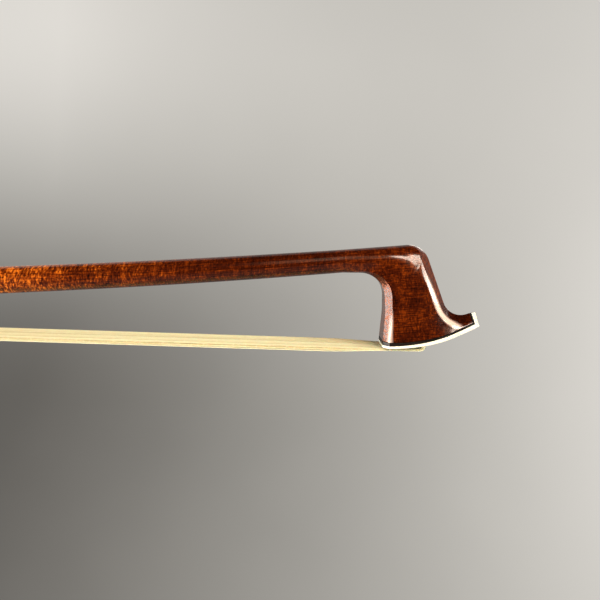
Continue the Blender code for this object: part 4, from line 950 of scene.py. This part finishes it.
def station(v, path, spans, lengths):
    """The place on a path for a share v, with stretches of known length between the spans."""
    marks = [0.0, *spans, 1.0]
    ends = [0.0, *lengths, path.length]
    for low, high, start, end in zip(marks, marks[1:], ends, ends[1:]):
        if v <= high:
            return path.at(mix(start, end, (v - low) / (high - low)))
    return path.at(path.length)


def between_lines(column, values):
    """The value at a column, from the values on the five lines."""
    stops = (FLAT_EDGE, CHEEK_START, CHEEK_END, FACET_EDGE, HALF)
    if column <= FLAT_EDGE:
        return values[0]
    for low, high, a, b in zip(stops, stops[1:], values, values[1:]):
        if column <= high:
            return a + (b - a) * ((column - low) / (high - low))
    return values[-1]


class Head:
    """The head's five lines in its own plane: throat, throat chamfer, cheek edge, facet edge, ridge."""

    def __init__(self):
        tilt = centre_angle(JOIN.x) - HAIR_ANGLE
        offset = Vector((-math.sin(tilt), math.cos(tilt))) * stick_radius(JOIN.x)
        middle = Vector((-JOIN_BACK, JOIN_HEIGHT))
        bottom = foot_place(0, WOOD_DEPTH)
        corners = [middle - offset, UNDERSIDE_KNEE, THROAT_CORNER, THROAT_WAIST, bottom]
        self.throat = Path(rounded_path(corners, [UNDERSIDE_RADIUS, THROAT_RADIUS, WAIST_RADIUS]))
        corners = [middle + offset, CROWN_CORNER, NOSE_CORNER, foot_place(HALF, WOOD_DEPTH)]
        self.ridge = Path(rounded_path(corners, [CROWN_RADIUS, NOSE_RADIUS]))
        corners = [CHEEK_EDGE_START, CHEEK_EDGE_CORNER, foot_place(CHEEK_END, WOOD_DEPTH)]
        self.cheek_edge = Path(rounded_path(corners, [CHEEK_EDGE_RADIUS]))
        corners = [FACET_EDGE_START, FACET_EDGE_CORNER, foot_place(FACET_EDGE, WOOD_DEPTH)]
        self.facet_edge = Path(rounded_path(corners, [FACET_EDGE_RADIUS]))
        self.throat_arc = arc_places(self.throat, THROAT_CORNER, THROAT_RADIUS)
        self.crown_arc = arc_places(self.ridge, CROWN_CORNER, CROWN_RADIUS)
        self.last = self.at(1.0)

    def ridge_at(self, v):
        return station(v, self.ridge, CROWN_SPAN, self.crown_arc)

    def throat_at(self, v):
        return station(v, self.throat, THROAT_SPAN, self.throat_arc)

    def chamfer_at(self, v):
        before, after = v - LINE_LOOKAHEAD, min(v + LINE_LOOKAHEAD, 1.0)
        along = (self.throat_at(after) - self.throat_at(before)).normalized()
        forward = Vector((-along.y, along.x)).lerp(Vector((1.0, 0.0)), ease(v, *FOOT_BEND))
        return self.throat_at(v) + forward * THROAT_CHAMFER * ease(v, *THROAT_FACING)

    def follow(self, path, v):
        """An edge line of the nose: it starts beside the crown's end and runs to the foot."""
        start = CROWN_SPAN[1]
        if v <= start:
            return path.at(0.0) + self.ridge_at(v) - self.ridge_at(start)
        return path.at(path.length * (v - start) / (1 - start))

    def at(self, v):
        """The places of the five lines at a share v of the way through the head."""
        edges = [self.follow(path, v) for path in (self.cheek_edge, self.facet_edge)]
        return [self.throat_at(v), self.chamfer_at(v), *edges, self.ridge_at(v)]

    def section(self, v):
        """Half of the head's section at a share v: places in its plane, each with a half width."""
        now = self.at(v)
        facings = [ease(v, *span) for span in LINE_FACING]
        swell = ease(v, 0.0, CROWN_SPAN[1])
        front = mix(FACET_HALF_WIDTH, BEAK_HALF_WIDTH, ease(v, *FACET_SPAN))
        points = []
        for column in COLUMNS:
            angle = math.pi * column / HALF
            facing = between_lines(column, facings)
            bend = ease(v, *(FOOT_BEND if column <= CHEEK_END else BEAK_BEND))
            rounded = now[0].lerp(now[-1], (1 - math.cos(angle)) / 2)
            place = rounded.lerp(between_lines(column, now), facing)
            place += bend * (foot_place(column, WOOD_DEPTH) - between_lines(column, self.last))
            full = mix(stick_radius(JOIN.x), cheek(*place), swell)
            flat = between_lines(column, [full - THROAT_CHAMFER, full, full, min(front, full), 0.0])
            flat *= min(column / FLAT_EDGE, 1.0)
            half = mix(full * math.sin(angle), flat, facing)
            points.append((place, mix(half, foot_half(column, WOOD_DEPTH), bend)))
        return points


def closed_ring(half_points):
    """A whole ring of points from places in the head's plane, each with a half width."""
    right = [head_point(p.x, half, p.y) for p, half in half_points]
    left = [head_point(p.x, -half, p.y) for p, half in reversed(half_points[1:-1])]
    return right + left


def ladder(bm, row):
    """Closes a ring with strips between its two sides, so that the face follows the foot's arc."""
    count = len(row)
    flat = 2 * CHEEK_START
    bm.faces.new(row[:flat + 1] + row[-flat:])
    for i in range(flat, count // 2):
        corners = [row[i], row[i + 1], row[(count - i - 1) % count], row[(count - i) % count]]
        bm.faces.new(list(dict.fromkeys(corners)))


def head_pocket(clearance):
    """The tool that cuts the mortise for the hair's knot and plug."""
    rings = []
    for height, tuck in ((-PLATE_THICKNESS, 0.0), (MORTISE_HEIGHT, MORTISE_TUCK)):
        back, front = MORTISE_START - clearance + tuck, MORTISE_END + clearance
        half = MORTISE_WIDTH / 2 + clearance - tuck
        corners = [(back, -half), (front, -half), (front, half), (back, half)]
        rings.append([head_point(x, y, height) for x, y in corners])
    return loft(rings)


def blank_place(point):
    """Where a point lies in the straight blank of wood: along it, across it and over its middle."""
    tilt = centre_angle(JOIN.x)
    past = point - Vector((JOIN.x, 0.0, JOIN.y))
    beyond = past.dot(Vector((math.cos(tilt), 0.0, math.sin(tilt))))
    if beyond > 0.0:
        return JOIN.x + beyond, point.y, past.dot(Vector((-math.sin(tilt), 0.0, math.cos(tilt))))
    return point.x, point.y, (point.z - centre_height(point.x)) * math.cos(centre_angle(point.x))


def nose_line(head):
    """Points beside the cheek's front edge, one line's width in front of it."""
    places = []
    for start, end in zip(head.cheek_edge.points, head.cheek_edge.points[1:]):
        forward = (end - start).normalized()
        aside = Vector((-forward.y, forward.x)) * NOSE_LINE_WIDTH
        places += [start.lerp(end, i / NOSE_LINE_STEPS) + aside for i in range(NOSE_LINE_STEPS)]
    return places


def throat_line(head):
    """Points beside the throat chamfer's front edge, just inside the chamfer."""
    aside = Vector((THROAT_LINE_ASIDE, 0.0))
    shares = [mix(THROAT_LINE_START, 1.0, i / THROAT_LINE_STEPS) for i in range(THROAT_LINE_STEPS + 1)]
    return [head.chamfer_at(v) - aside for v in shares]


def nearness(here, line, near, far):
    """1 up to one distance from a line of points, and 0 past another."""
    return 1 - ease(min((place - here).length for place in line), near, far)


def edge_highlight_share(run, rise, nose, throat):
    """How strongly a painted highlight lies along two edges of the head."""
    here = Vector((run, rise))
    if run > NOSE_LINE_START and rise < NOSE_LINE_FADE[1]:
        near = nearness(here, nose, NOSE_LINE_CORE * NOSE_LINE_WIDTH, NOSE_LINE_WIDTH)
        return near * (1 - ease(rise, *NOSE_LINE_FADE))
    if run < THROAT_LINE_END and rise < THROAT_LINE_FADE[1]:
        near = nearness(here, throat, THROAT_LINE_WIDTH / 2, THROAT_LINE_WIDTH)
        return near * (1 - ease(rise, *THROAT_LINE_FADE))
    return 0.0


def wood_marks(mesh, head):
    """Stores where each point lies in the blank of wood, where the varnish is rubbed and partly paler as a
    painted sheen, and where painted highlight lines run along two edges.
    """
    layers = mesh.attributes
    for name, kind in (("grain", "FLOAT_VECTOR"), ("wear", "FLOAT"), ("pale_edge", "FLOAT")):
        layers.new(name, kind, "POINT")
    grain, wear, pale_edge = layers["grain"], layers["wear"], layers["pale_edge"]
    nose, throat = nose_line(head), throat_line(head)
    for vertex in mesh.vertices:
        run, rise = in_head_plane(vertex.co)
        at_throat = within(run, *WEAR_AND_SHEEN_RUN) * (1 - ease(rise, *WEAR_AND_SHEEN_RISE))
        grain.data[vertex.index].vector = blank_place(vertex.co)
        wear.data[vertex.index].value = within(abs(vertex.normal.y), *WEAR_AND_SHEEN_TILT) * at_throat
        pale_edge.data[vertex.index].value = edge_highlight_share(run, rise, nose, throat)


def make_stick():
    """The stick and head as one carved body, with the bores and pockets that the solids have."""
    head = Head()
    ends = (STICK_END - NIPPLE_LENGTH, STICK_END)
    rings = [[stick_point(x, angle, NIPPLE_RADIUS) for angle in ANGLES] for x in ends]
    start = HANDLE_END - ROUNDING_LENGTH
    rings += [stick_section(mix(STICK_END, start, share)) for share in (0.0, 0.5)]
    rings += [stick_section(mix(start, HANDLE_END, i / HANDLE_RINGS)) for i in range(HANDLE_RINGS + 1)]
    rings += [stick_section(mix(HANDLE_END, JOIN.x, i / STICK_RINGS)) for i in range(1, STICK_RINGS)]
    rings += [closed_ring(head.section(i / HEAD_RINGS)) for i in range(HEAD_RINGS + 1)]
    bm = bmesh.new()
    rows = loft_faces(bm, rings)
    bm.faces.new(rows[0])
    ladder(bm, rows[-1])
    carved = shown("stick_and_head", bm, finishes["pernambuco"], STICK_SHARP_ANGLE)
    round_edges(carved, EDGE_ROUNDING, STICK_SHARP_ANGLE)
    hollows = [bore(*COLLAR_BORE), bore(*SCREW_BORE), box(*EYELET_SLOT), head_pocket(GLUE_GAP)]
    carved = baked(carved, [cut(carved, hollow) for hollow in hollows])
    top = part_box("stick")[1][2]
    for vertex in carved.data.vertices:
        vertex.co.z = min(vertex.co.z, top)
    wood_marks(carved.data, head)
    placed(carved, "stick", "pernambuco", "stick")


def foot_sheet(name, outer, inner, slot, node, rounding):
    """A sheet bent along the foot of the head, from its outer to its inner depth at each column."""
    bm = bmesh.new()
    rings = []
    for depths in (outer, inner):
        rings.append(closed_ring([(foot_place(*at), foot_half(*at)) for at in zip(COLUMNS, depths)]))
    rows = loft_faces(bm, rings)
    for row in rows:
        ladder(bm, row)
    sheet = shown(name, bm, finishes[slot])
    tools = [cut(sheet, head_pocket(0.0))]
    if rounding:
        round_edges(sheet, rounding, SOFT_SHARP_ANGLE)
    placed(baked(sheet, tools), "stick", slot, node)


def plate_depth(column):
    """The plate's thickness at a column: it thins from the beak to the throat."""
    share = min(max((column - CHEEK_START) / (CHEEK_END - CHEEK_START), 0.0), 1.0)
    return mix(PLATE_BACK_THICKNESS, PLATE_THICKNESS, share)


def make_tip():
    """The bone plate under the head, and the ebony veneer between it and the wood."""
    plate = [plate_depth(column) for column in COLUMNS]
    foot_sheet("tip_plate_bone", [0.0] * len(plate), plate, "bone", "tip_plate", PLATE_ROUNDING)
    veneer = [depth + GLUE_GAP for depth in plate]
    wood = [WOOD_DEPTH - GLUE_GAP] * len(plate)
    foot_sheet("tip_plate_veneer", veneer, wood, "ebony", "tip_plate_liner", 0.0)


# Hair
def head_hair_path():
    """The hair's middle line in the head: down the mortise's wall and out under the plate."""
    wall = MORTISE_END - SEAT_GAP - HAIR_THICKNESS / 2
    below = -HAIR_BELOW_PLATE
    corners = [(wall, foot_height(wall) + HEAD_PLUG_HEIGHT), (wall, below), (0.0, below)]
    path = rounded_path(corners, [HAIR_HEAD_BEND], HEAD_BEND_STEPS)
    return [HEAD_ORIGIN + turned_up(point) for point in path]


def frog_hair_path():
    """The hair's middle line in the frog: through the ferrule, over the slide and into the mortise."""
    channel = -(SLIDE_TOP - SEAT_GAP - HAIR_THICKNESS / 2)
    rear = FROG_MORTISE_START + SEAT_GAP + HAIR_THICKNESS / 2
    step = FERRULE_START + SLIDE_FRONT_TONGUE + SEAT_GAP
    corners = [(FERRULE_MOUTH, -HAIR_DEPTH), (step + HAIR_STEP_LENGTH, -HAIR_DEPTH), (step, channel)]
    corners += [(rear, channel), (rear, -CHANNEL_TOP + FROG_PLUG_HEIGHT)]
    bends = [HAIR_STEP_BEND, HAIR_STEP_BEND, HAIR_FROG_BEND]
    path = rounded_path(corners, bends, FROG_BEND_STEPS)
    return [point + Vector((FROG_REAR, 0.0)) for point in path]


def hair_width(distance):
    """The ribbon's width at a distance from the throat: it spreads from both of its mortises."""
    in_head = ease(distance, MORTISE_START - MORTISE_END, HAIR_SPREAD)
    in_frog = ease(distance, HAIR_LENGTH, HAIR_LENGTH + HAIR_IN_FROG)
    width = mix(HAIR_WIDTH_MORTISE, HAIR_WIDTH_HEAD, in_head)
    width = mix(width, HAIR_WIDTH_FROG, ease(distance, HAIR_SPREAD, HAIR_LENGTH))
    return mix(width, HAIR_WIDTH_MORTISE * FROG_END_NARROWING, in_frog)


def hair_thickness(distance):
    """The ribbon's thickness: it is pressed thin at both ends and lies loose between them."""
    loose = ease(distance, 0.0, HAIR_SPREAD) * ease(HAIR_LENGTH - distance, 0.0, HAIR_SPREAD)
    return mix(HAIR_THICKNESS, HAIR_LOOSE_THICKNESS, loose)


def hair_guide():
    """The ribbon's middle line as points, each with its width, thickness and upward direction."""
    head, frog = head_hair_path(), frog_hair_path()
    spread = HAIR_SPREAD / HAIR_LENGTH
    shares = [spread * i / SPREAD_STEPS for i in range(1, SPREAD_STEPS + 1)]
    shares += [mix(spread, 1.0, i / FREE_STEPS) for i in range(1, FREE_STEPS)]
    points = head + [head[-1].lerp(frog[0], share) for share in shares] + frog
    lead = sum((b - a).length for a, b in zip(head, head[1:]))
    guide, travelled = [], 0.0
    for i, point in enumerate(points):
        before, after = points[max(i - 1, 0)], points[min(i + 1, len(points) - 1)]
        if i:
            travelled += (point - before).length
        along = (after - before).normalized()
        distance = travelled - lead
        width, thickness = hair_width(distance), hair_thickness(distance)
        guide.append((point, width, thickness, Vector((along.y, -along.x))))
    return guide


def group_tree(name, inputs):
    """A geometry tree with a geometry input and output, and named inputs for its sizes."""
    group = bpy.data.node_groups.new(name, "GeometryNodeTree")
    group.interface.new_socket("Shape", in_out="INPUT", socket_type="NodeSocketGeometry")
    for title, kind, value in inputs:
        made = group.interface.new_socket(title, in_out="INPUT", socket_type=kind)
        made.default_value = value
    group.interface.new_socket("Shape", in_out="OUTPUT", socket_type="NodeSocketGeometry")
    tree = Tree(group)
    entry = group.nodes.new("NodeGroupInput")
    given = {socket.name: Signal(tree, socket) for socket in entry.outputs if socket.name}
    return tree, given


def end_tree(tree, shape, finish):
    """Ends a geometry tree: real geometry, its finish, and the output."""
    real = tree.node("GeometryNodeRealizeInstances", {}, [shape])
    dressed = tree.node("GeometryNodeSetMaterial", {}, {"Geometry": real, "Material": finish})
    leave = tree.tree.nodes.new("NodeGroupOutput")
    tree.put(leave.inputs[0], dressed)


def grown(name, source, tree, values):
    """Runs a geometry tree on a source object and returns the result as a plain mesh object."""
    source.name = name
    step = source.modifiers.new("grow", "NODES")
    step.node_group = tree.tree
    for item in tree.tree.interface.items_tree:
        if item.in_out == "INPUT" and item.name in values:
            step[item.identifier] = values[item.name]
    made = baked(source)
    made.data.shade_smooth()
    return made


def named(tree, name, kind="FLOAT"):
    """A value that was stored on the guide line's points."""
    return tree.node("GeometryNodeInputNamedAttribute", {"data_type": kind}, {"Name": name})


def summed(tree, first, second):
    """The sum of two vectors."""
    return tree.node("ShaderNodeVectorMath", {"operation": "ADD"}, [first, second])


def wandering(tree, place):
    """A slow, even noise for the hairs' drift, from 0 to 1."""
    return tree.node("ShaderNodeTexNoise", {}, {"Vector": place, "Scale": 1.0, "Detail": 1.0}, "Fac")


def tube(tree, line, radius, sides, finish):
    """Ends a tree with a round tube along its line."""
    profile = tree.node("GeometryNodeCurvePrimitiveCircle", {}, {"Resolution": sides, "Radius": radius})
    sockets = {"Curve": line, "Profile Curve": profile, "Fill Caps": True}
    end_tree(tree, tree.node("GeometryNodeCurveToMesh", {}, sockets), finish)
    return tree


def strands_tree():
    """Lays many fine hairs side by side and in layers along a guide line."""
    inputs = [("Strands", "NodeSocketInt", STRANDS), ("Layers", "NodeSocketInt", STRAND_LAYERS)]
    inputs += [("Strand Radius", "NodeSocketFloat", STRAND_RADIUS)]
    inputs += [("Wander", "NodeSocketFloat", STRAND_WANDER), ("Seed", "NodeSocketInt", STRAND_SEED)]
    tree, given = group_tree("hair_strands", inputs)
    line = tree.node("GeometryNodeMeshToCurve", {}, [given["Shape"]])
    many = tree.tree.nodes.new("GeometryNodeDuplicateElements")
    many.domain = "SPLINE"
    tree.put(many.inputs["Geometry"], line)
    tree.put(many.inputs["Amount"], given["Strands"])
    index = Signal(tree, many.outputs["Duplicate Index"])
    layer = tree.node("ShaderNodeMath", {"operation": "MODULO"}, [index, given["Layers"]])
    chance = {"ID": index, "Seed": given["Seed"]}
    jitter = tree.node("FunctionNodeRandomValue", {"data_type": "FLOAT"}, chance, 1)
    offset = strand_offset(tree, given, index, layer, jitter)
    placing = {"Geometry": Signal(tree, many.outputs[0]), "Offset": offset}
    moved = tree.node("GeometryNodeSetPosition", {}, placing)
    tone = {"Geometry": moved, "Name": "tone", "Value": jitter}
    settings = {"data_type": "FLOAT", "domain": "POINT"}
    toned = tree.node("GeometryNodeStoreNamedAttribute", settings, tone)
    return tube(tree, toned, given["Strand Radius"], STRAND_SIDES, finishes["horsehair"])


def strand_offset(tree, given, index, layer, jitter):
    """How far each hair lies from the guide line: its place in the ribbon, and a slow wander."""
    lift = layer / (given["Layers"] - 1) * 2 - 1
    side = (index + 0.5 + (jitter - 0.5) * STRAND_JITTER) / given["Strands"] * 2 - 1
    place = tree.node("GeometryNodeInputPosition")
    apart = [index * share for share in WANDER_APART]
    shifted = tree.node("ShaderNodeCombineXYZ", {}, [*apart, 0.0])
    stretch = {"operation": "MULTIPLY_ADD"}
    stretched = tree.node("ShaderNodeVectorMath", stretch, [place, WANDER_SCALE, shifted])
    drift = wandering(tree, stretched)
    sway = wandering(tree, summed(tree, stretched, SWAY_APART))
    width, thick = named(tree, "width"), named(tree, "thick")
    crown = 1 - side * side * side * side * EDGE_THINNING
    room = thick * 0.5 - given["Strand Radius"]
    reach = width * 0.5 - given["Strand Radius"] - given["Wander"]
    across = side * reach + (drift - 0.5) * 2 * given["Wander"]
    rise = (lift * LAYER_SPREAD + (sway - 0.5) * SWAY_SPREAD) * crown * room
    outward = {"Vector": named(tree, "out", "FLOAT_VECTOR"), "Scale": rise}
    up = tree.node("ShaderNodeVectorMath", {"operation": "SCALE"}, outward)
    return summed(tree, up, tree.node("ShaderNodeCombineXYZ", {}, [0.0, across, 0.0]))


def guide_object(name, points):
    """A bare line of points as an object."""
    mesh = bpy.data.meshes.new(name)
    edges = [(i, i + 1) for i in range(len(points) - 1)]
    mesh.from_pydata(points, edges, [])
    made = bpy.data.objects.new(name, mesh)
    bpy.context.scene.collection.objects.link(made)
    return made


def make_hair():
    """The ribbon of hair, which stretches between the head and the frog."""
    guide = hair_guide()
    line = guide_object("hair_line", [Vector((p.x, 0.0, p.y)) for p, *_ in guide])
    layers = line.data.attributes
    for name, kind in (("width", "FLOAT"), ("thick", "FLOAT"), ("out", "FLOAT_VECTOR")):
        layers.new(name, kind, "POINT")
    width, thick, out = layers["width"], layers["thick"], layers["out"]
    for i, (_, wide, deep, up) in enumerate(guide):
        width.data[i].value = wide
        thick.data[i].value = deep
        out.data[i].vector = (up.x, 0.0, up.y)
    strands = grown("hair_strands", line, strands_tree(), {"Strands": STRANDS, "Seed": STRAND_SEED})
    bed = make_hair_bed(guide)
    throat = Vector((HEAD_ORIGIN.x, 0.0, HEAD_ORIGIN.y))
    mouth = Vector((HAIR_START.x, 0.0, HAIR_START.y))
    for piece in (strands, bed):
        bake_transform(piece, "stick", "frog", throat, mouth)
    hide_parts("hair")


def make_hair_bed(guide):
    """The close-packed middle of the ribbon, under the hairs that can be told apart."""
    layout = BED_OUTLINE + [(-across, -up) for across, up in BED_OUTLINE]
    rings = []
    for point, wide, deep, up in guide:
        half, depth = wide * BED_WIDTH / 2, deep / 2 - BED_COVER * STRAND_RADIUS
        places = [(point + up * b * depth, a * half) for a, b in layout]
        rings.append([Vector((place.x, across, place.y)) for place, across in places])
    return shown("hair_bed", loft(rings), finishes["horsehair"], ROUND_SHARP_ANGLE)


# Grip
def leather_point(x, angle, proud):
    """The leather's outer face: the octagon under it rounded off, with a groove at the seam."""
    near = abs((angle - LEATHER_SEAM + math.pi) % math.tau - math.pi)
    dip = SEAM_DIP * (1 - ease(near, 0.0, SEAM_HALF_ANGLE))
    octagon = stick_reach(x, angle, proud - dip)
    rounded = mix(octagon, APOTHEM * LEATHER_ROUND + proud - dip, LEATHER_ROUND_SHARE)
    return stick_point(x, angle, min(rounded, octagon + LEATHER_SLACK))


def make_leather():
    """The thumb leather: a skived strip round the handle, with its butted seam on the far side."""
    start, end = LEATHER_SPAN
    angles = [math.tau * k / LEATHER_SIDES for k in range(LEATHER_SIDES)]
    outside, inside = [], []
    for i in range(LEATHER_RINGS + 1):
        x = mix(start, end, i / LEATHER_RINGS)
        skive = ease(min(x - start, end - x), 0.0, LEATHER_SKIVE)
        proud = SEAT_GAP + mix(LEATHER_EDGE, LEATHER_THICKNESS, skive)
        outside.append([leather_point(x, angle, proud) for angle in angles])
        inside.append([stick_point(x, angle, stick_reach(x, angle, SEAT_GAP)) for angle in angles])
    bm = bmesh.new()
    rows = loft_faces(bm, outside + inside[::-1])
    for k in range(LEATHER_SIDES):
        j = (k + 1) % LEATHER_SIDES
        bm.faces.new((rows[-1][k], rows[-1][j], rows[0][j], rows[0][k]))
    leather = shown("thumb_leather_wrap", bm, finishes["leather"], LEATHER_SHARP_ANGLE)
    placed(leather, "stick", "leather", "thumb_leather")


def wire_tree():
    """Runs a round wire along a guide line."""
    inputs = [("Wire Radius", "NodeSocketFloat", LAPPING_WIRE / 2), ("Sides", "NodeSocketInt", WIRE_SIDES)]
    tree, given = group_tree("lapping_wire", inputs)
    line = tree.node("GeometryNodeMeshToCurve", {}, [given["Shape"]])
    return tube(tree, line, given["Wire Radius"], given["Sides"], finishes["silver"])


def make_lapping():
    """The silver wire, wound turn by turn round the handle."""
    radius = LAPPING_WIRE / 2
    start, end = LAPPING_SPAN[0] + radius, LAPPING_SPAN[1] - radius
    count = int((end - start) / WIRE_PITCH) * WIRE_TURN_POINTS
    points = []
    for i in range(count + 1):
        x = mix(start, end, i / count)
        angle = math.tau * i / WIRE_TURN_POINTS
        points.append(stick_point(x, angle, stick_reach(x, angle, SEAT_GAP + radius)))
    line = guide_object("lapping_line", points)
    sizes = {"Wire Radius": radius * WIRE_EASE, "Sides": WIRE_SIDES}
    wire = grown("lapping_wire", line, wire_tree(), sizes)
    placed(wire, "stick", "silver", "lapping")


# Pieces whose shape comes from the solids
def keep_creases(mesh):
    """Keeps the shallow edges between two broad flat faces sharp, so that both faces stay flat."""
    bm = bmesh.new()
    bm.from_mesh(mesh)
    for edge in bm.edges:
        areas = [face.calc_area() for face in edge.link_faces]
        if len(areas) == 2 and min(areas) > BROAD_FACE:
            edge.smooth = edge.calc_face_angle() < math.radians(SHALLOWEST_CREASE)
    bm.to_mesh(mesh)
    bm.free()


def softened(node, slot, body):
    """A copy of a solid with its flat faces joined again and its edges rounded."""
    bm = bmesh.new()
    bm.from_mesh(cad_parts[node].data)
    bmesh.ops.remove_doubles(bm, verts=bm.verts, dist=SOLID_MERGED)
    flat = math.radians(FLAT_WITHIN)
    bmesh.ops.dissolve_limit(bm, angle_limit=flat, verts=bm.verts, edges=bm.edges)
    piece = shown(node + "_finished", bm, finishes[slot], SOFT_SHARP_ANGLE)
    keep_creases(piece.data)
    round_edges(piece, SOFT_ROUNDING, SOFT_SHARP_ANGLE)
    placed(baked(piece), body, slot, node)


def keep(node, slot):
    """A hidden solid that stays as it is, with its own finish."""
    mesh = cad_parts[node].data
    mesh.materials.clear()
    mesh.materials.append(finishes[slot])


# The solids whose edges are rounded, and the hidden ones that stay as they are, by finish
SOFTENED = {
    "frog": {
        "silver": ["ferrule", "heel_plate", "eye_ring_left", "eye_ring_right"],
        "ebony": ["frog"],
        "pearl": ["slide_pearl", "eye_pearl_left", "eye_pearl_right"],
    },
    "button": {"silver": ["button_cap", "button_collar"], "ebony": ["button_core"]},
}

KEPT = {
    "silver": ["underslide", "heel_pin_1", "heel_pin_2", "heel_pin_3", "heel_pin_4"],
    "steel": ["screw", "underslide_screw_1", "underslide_screw_2"],
    "brass": ["eyelet"],
    "ebony": ["slide_base"],
    "maple": ["head_plug", "frog_plug", "ferrule_wedge"],
    "horsehair": ["head_knot", "frog_knot"],
}


def make_pieces():
    """Every piece of the bow: those made anew here, and those that keep their solid's shape."""
    make_stick()
    make_tip()
    make_hair()
    make_leather()
    make_lapping()
    for body, by_slot in SOFTENED.items():
        for slot, nodes in by_slot.items():
            for node in nodes:
                softened(node, slot, body)
    for slot, nodes in KEPT.items():
        for node in nodes:
            keep(node, slot)


# Stage, lights and camera
FLOOR = -0.95
WALL = 1.9
SWEEP_RADIUS = 0.9
STAGE_HALF = 4.0
STAGE_RIGHT = 4.7
SWEEP_STEPS = 24
WINDOW_DISTANCE = 1.3
ROOM_GLOW = 0.02
ROOM_SEEN = 0.75
ROOM_COLOUR = (0.78, 0.77, 0.74, 1.0)
LIT_PLACE = (0.008, 0.0, 0.012)

# Each window's name, its bearing and height round the head in degrees, size, power and colour
WINDOWS = [
    ("window_left", -76.0, -10.0, (1.15, 1.25), 46.0, (1.0, 0.94, 0.89)),
    ("window_left_edge", -47.0, -12.0, (0.22, 0.9), 11.0, (1.0, 0.96, 0.92)),
    ("window_front", 22.0, 37.0, (0.75, 0.36), 12.0, (1.0, 0.90, 0.78)),
    ("window_front_haze", 16.0, 36.0, (1.1, 0.75), 3.0, (1.0, 0.74, 0.50)),
    ("window_right", 77.0, 25.0, (1.5, 0.5), 30.0, (1.0, 0.93, 0.83)),
    ("window_behind", 160.0, 12.0, (0.45, 0.32), 1.5, (1.0, 0.92, 0.86)),
]


def make_sweep():
    """A pale floor that curves up into a wall behind the object."""
    corners = [(-STAGE_HALF, FLOOR), (WALL, FLOOR), (WALL, STAGE_HALF)]
    profile = rounded_path(corners, [SWEEP_RADIUS], SWEEP_STEPS)
    bm = bmesh.new()
    rows = [[bm.verts.new((x, p.x, p.y)) for p in profile] for x in (-STAGE_HALF, STAGE_RIGHT)]
    for i in range(len(profile) - 1):
        bm.faces.new((rows[0][i], rows[1][i], rows[1][i + 1], rows[0][i + 1]))
    sweep = shown("backdrop", bm, plain_backdrop(), ROUND_SHARP_ANGLE)


def soft_light(name, place, target, size, power, colour):
    """A soft rectangular light that faces its target."""
    data = bpy.data.lights.new(name, "AREA")
    data.shape = "RECTANGLE"
    data.size, data.size_y = size
    data.energy = power
    data.color = colour
    light = bpy.data.objects.new(name, data)
    bpy.context.scene.collection.objects.link(light)
    light.location = place
    light.rotation_euler = (Vector(target) - Vector(place)).to_track_quat("-Z", "Y").to_euler()


def make_lights():
    """Windows round the head, in a room that is dark to the bow and pale to the camera."""
    head = head_point(*LIT_PLACE)
    for name, bearing, height, size, power, colour in WINDOWS:
        around, up = math.radians(bearing), math.radians(height)
        away = Vector((math.sin(around) * math.cos(up), -math.cos(around) * math.cos(up), math.sin(up)))
        soft_light(name, head + away * WINDOW_DISTANCE, head, size, power, colour)
    world = bpy.data.worlds.new("dark_room")
    world.use_nodes = True
    nodes, links = world.node_tree.nodes, world.node_tree.links
    shade = nodes["Background"]
    shade.inputs["Color"].default_value = ROOM_COLOUR
    seen = nodes.new("ShaderNodeLightPath")
    glow = nodes.new("ShaderNodeMapRange")
    glow.inputs["To Min"].default_value = ROOM_GLOW
    glow.inputs["To Max"].default_value = ROOM_SEEN
    links.new(seen.outputs["Is Camera Ray"], glow.inputs["Value"])
    links.new(glow.outputs["Result"], shade.inputs["Strength"])
    bpy.context.scene.world = world


def head_direction(vector):
    """A direction in the head's own plane, turned to the bow's frame."""
    flat = turned_up((vector.x, vector.z))
    return Vector((flat.x, vector.y, flat.y))


def make_camera():
    """The camera close beside the head, as in the photograph."""
    yaw, pitch, roll = CAMERA_YAW, CAMERA_PITCH, CAMERA_ROLL
    near = math.cos(pitch)
    ahead = Vector((math.sin(yaw) * near, math.cos(yaw) * near, -math.sin(pitch)))
    level = Vector((math.cos(yaw), -math.sin(yaw), 0.0))
    upright = level.cross(ahead)
    right = level * math.cos(roll) + upright * math.sin(roll)
    up = upright * math.cos(roll) - level * math.sin(roll)
    axes = [head_direction(vector) for vector in (right, up, -ahead)]
    data = bpy.data.cameras.new("camera")
    data.lens = CAMERA_LENS
    data.sensor_width = SENSOR_WIDTH
    data.clip_start = NEAREST_SEEN
    camera = bpy.data.objects.new("camera", data)
    bpy.context.scene.collection.objects.link(camera)
    turn = Matrix(axes).transposed().to_4x4()
    camera.matrix_world = Matrix.Translation(head_point(*CAMERA_PLACE)) @ turn
    bpy.context.scene.camera = camera


make_camera()
make_pieces()
make_sweep()
make_lights()
bpy.context.scene.view_settings.view_transform = "Standard"
bpy.context.scene.view_settings.gamma = PICTURE_GAMMA
